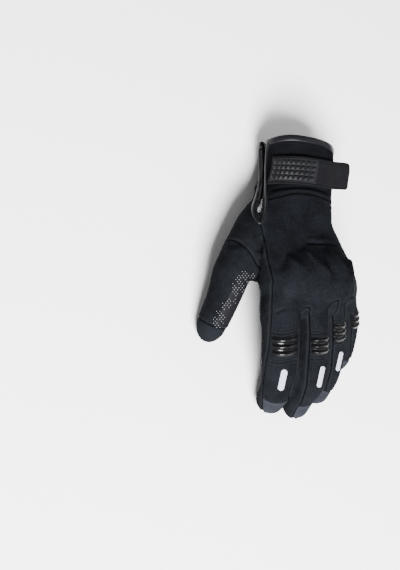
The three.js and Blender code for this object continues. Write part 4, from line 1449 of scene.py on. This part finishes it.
def addStitch(bm, spot, along, outward, stitch):
    along = unit(along - outward * (along @ outward))
    sides = [(along, "length"), (np.cross(outward, along), "wide"), (outward, "high")]
    place = Matrix([Vector(way) * stitch[size] / 2 for way, size in sides]).transposed().to_4x4()
    place.translation = Vector(spot + outward * stitch["high"] * 0.15)
    bmesh.ops.create_icosphere(bm, subdivisions=1, radius=1.0, matrix=place)


def sewRun(bm, spots, stitch):
    # stitches along a run of points with their normals; a lean makes the row a zigzag
    even = evenly(np.array([np.concatenate(s) for s in spots]), stitch["gap"])
    lean = stitch.get("lean", 0)
    for m, way in zip((even[:-1] + even[1:]) / 2, np.diff(even[:, :3], axis=0)):
        if np.linalg.norm(way) < stitch["gap"] * 2.5:
            outward = unit(m[3:])
            addStitch(bm, m[:3], way + np.cross(outward, way) * lean, outward, stitch)
            lean = -lean


def sewOn(rows, finder, name, look, stitch):
    bm = bmesh.new()
    for row in rows:
        spots = [finder(*q) for q in evenly(rounded(row, 10, closed=False), 0.6)]
        spots = [s for s in spots if s[0] is not None]
        if len(spots) >= 4:
            sewRun(bm, spots, stitch)
    finishPiece(bm, name, [look])


def onStrap(f, across):
    f, across = np.array([f]), np.array([across])
    return strapPoint(strap["clear"] + 0.05, f, across)[0], strapNormal(f, across)[0]


def sewStrap():
    bm = bmesh.new()
    for row in strapRows:
        line = []
        for a, b in zip(row[:-1], row[1:]):
            line += [(a[0] + (b[0] - a[0]) * k / 60, a[1] + (b[1] - a[1]) * k / 60) for k in range(61)]
        sewRun(bm, [onStrap(*q) for q in line], stitches["strap"])
    finishPiece(bm, "strap_stitching", ["thread"])


sewOn(backRows[:-2], pick, "back_stitching", "thread", stitches["back"])
sewOn(backRows[-2:], pick, "wrist_stitching", "thread", stitches["wrist"])
sewOn(palmRows, pickPalm, "palm_stitching", "palmThread", stitches["palm"])
sewStrap()

# raised dots on the inner side of the thumb
dotFields = [
    [(240, 271), (247, 269.5), (249, 276), (246, 284), (242, 293), (236, 296), (231, 291), (233, 281)],
    [(248, 271.5), (254, 272), (255, 278), (250, 280)],
    [(229, 297), (235, 297.5), (235, 303), (229, 309), (222, 311), (221, 303)],
    [(217, 309), (227, 312), (225, 319), (221, 327), (215, 328), (212, 319)],
]
raisedDot = dict(step=(3.1, 2.0), length=0.74, wide=0.74, high=0.74, rise=0.35, share=0.7)


def makeDots():
    bm = bmesh.new()
    across, down = raisedDot["step"]
    for outline in dotFields:
        outline = np.array(outline, float)
        low, high = outline.min(0), outline.max(0)
        for row in range(int((high[1] - low[1]) / down) + 1):
            for place in range(int((high[0] - low[0]) / across) + 2):
                u, v = low[0] + (place + row % 2 / 2) * across, low[1] + row * down
                # some dots are missing, in no clear order
                missing = math.sin(u * 12.9 + v * 78.2) >= raisedDot["share"]
                if missing or inOutline(outline, np.array([[u, v]]))[0] <= 0:
                    continue
                spot, way = pick(u, v)
                if spot is not None:
                    addStitch(bm, spot + way * raisedDot["rise"], np.cross(way, viewUp), way, raisedDot)
    finishPiece(bm, "thumb_dots", ["gripDots"], ())


makeDots()
print("stitches and dots made")


# Blank label on the outer edge

label = dict(wide=9, long=21, thick=0.8, turn=0.9, at=(55.6, 53, 20), edge=0.9, proud=0.25, bevel=0.22)


def makeLabel(name, look, inset, grow, stands):
    bm = bmesh.new()
    bmesh.ops.create_cube(bm, size=1.0)
    size = (label["wide"] - 2 * inset, label["long"] - 2 * inset, label["thick"] + grow)
    bmesh.ops.scale(bm, vec=size, verts=bm.verts)
    bmesh.ops.bevel(bm, geom=bm.edges[:], offset=label["bevel"], offset_type="OFFSET", segments=2,
                    profile=0.5, affect="EDGES", material=-1)
    bmesh.ops.rotate(bm, cent=(0, 0, 0), matrix=Matrix.Rotation(label["turn"], 3, "Y"), verts=bm.verts)
    bmesh.ops.translate(bm, vec=label["at"], verts=bm.verts)
    finishPiece(bm, name, [look], stands)


makeLabel("side_label", "labelEdge", 0, 0, ("side_label",))
makeLabel("label_face", "label", label["edge"], label["proud"], ())
print("label made")
skin.free()

# Floor, light and camera

stageLook = dict(floor=(250, 250, 250), floorSize=3.0, floorRough=0.9, floorSpec=0.1, sky=0.38)
# place in metres, size and power
lights = {"key": ((-0.4, -1.25, 1.5), 1.0, 250.0), "fill": ((0.9, 0.3, 1.0), 0.9, 6.0)}


def makeFloor():
    bm = bmesh.new()
    bmesh.ops.create_grid(bm, x_segments=2, y_segments=2, size=stageLook["floorSize"])
    floor = addObject("floor", meshOf(bm, "floor"))
    material = bpy.data.materials.new("paleFloor")
    material.use_nodes = True
    surface = material.node_tree.nodes["Principled BSDF"]
    surface.inputs["Base Color"].default_value = linear(*stageLook["floor"])
    surface.inputs["Roughness"].default_value = stageLook["floorRough"]
    surface.inputs["Specular IOR Level"].default_value = stageLook["floorSpec"]
    floor.data.materials.append(material)


def makeLights():
    world = bpy.data.worlds.new("studio")
    bpy.context.scene.world = world
    world.use_nodes = True
    sky = world.node_tree.nodes["Background"]
    sky.inputs["Color"].default_value = (1, 1, 1, 1)
    sky.inputs["Strength"].default_value = stageLook["sky"]
    for name, (at, size, power) in lights.items():
        light = bpy.data.lights.new(name, "AREA")
        light.size = size
        light.energy = power
        lamp = addObject(name, light)
        lamp.location = at
        lamp.rotation_mode = "QUATERNION"
        lamp.rotation_quaternion = (-Vector(at)).to_track_quat("-Z", "Y")


def makeCamera():
    data = bpy.data.cameras.new("camera")
    camera = addObject("camera", data)
    wide, high = photoView["frame"]
    u, v = photoView["centre"]
    data.sensor_width = photoView["sensor"]
    data.sensor_fit = "AUTO"
    data.lens = photoView["sensor"] * photoView["distance"] / (high * perPixel)
    data.shift_x = -(u - wide / 2) / high
    data.shift_y = (v - high / 2) / high
    data.clip_end = 20
    camera.rotation_mode = "QUATERNION"
    turn = Matrix([Vector(way) for way in (viewRight, viewUp, viewBack)]).transposed()
    camera.rotation_quaternion = turn.to_quaternion()
    camera.location = Vector((viewEye - layCentre) * toMetres)
    bpy.context.scene.camera = camera


makeFloor()
makeLights()
makeCamera()
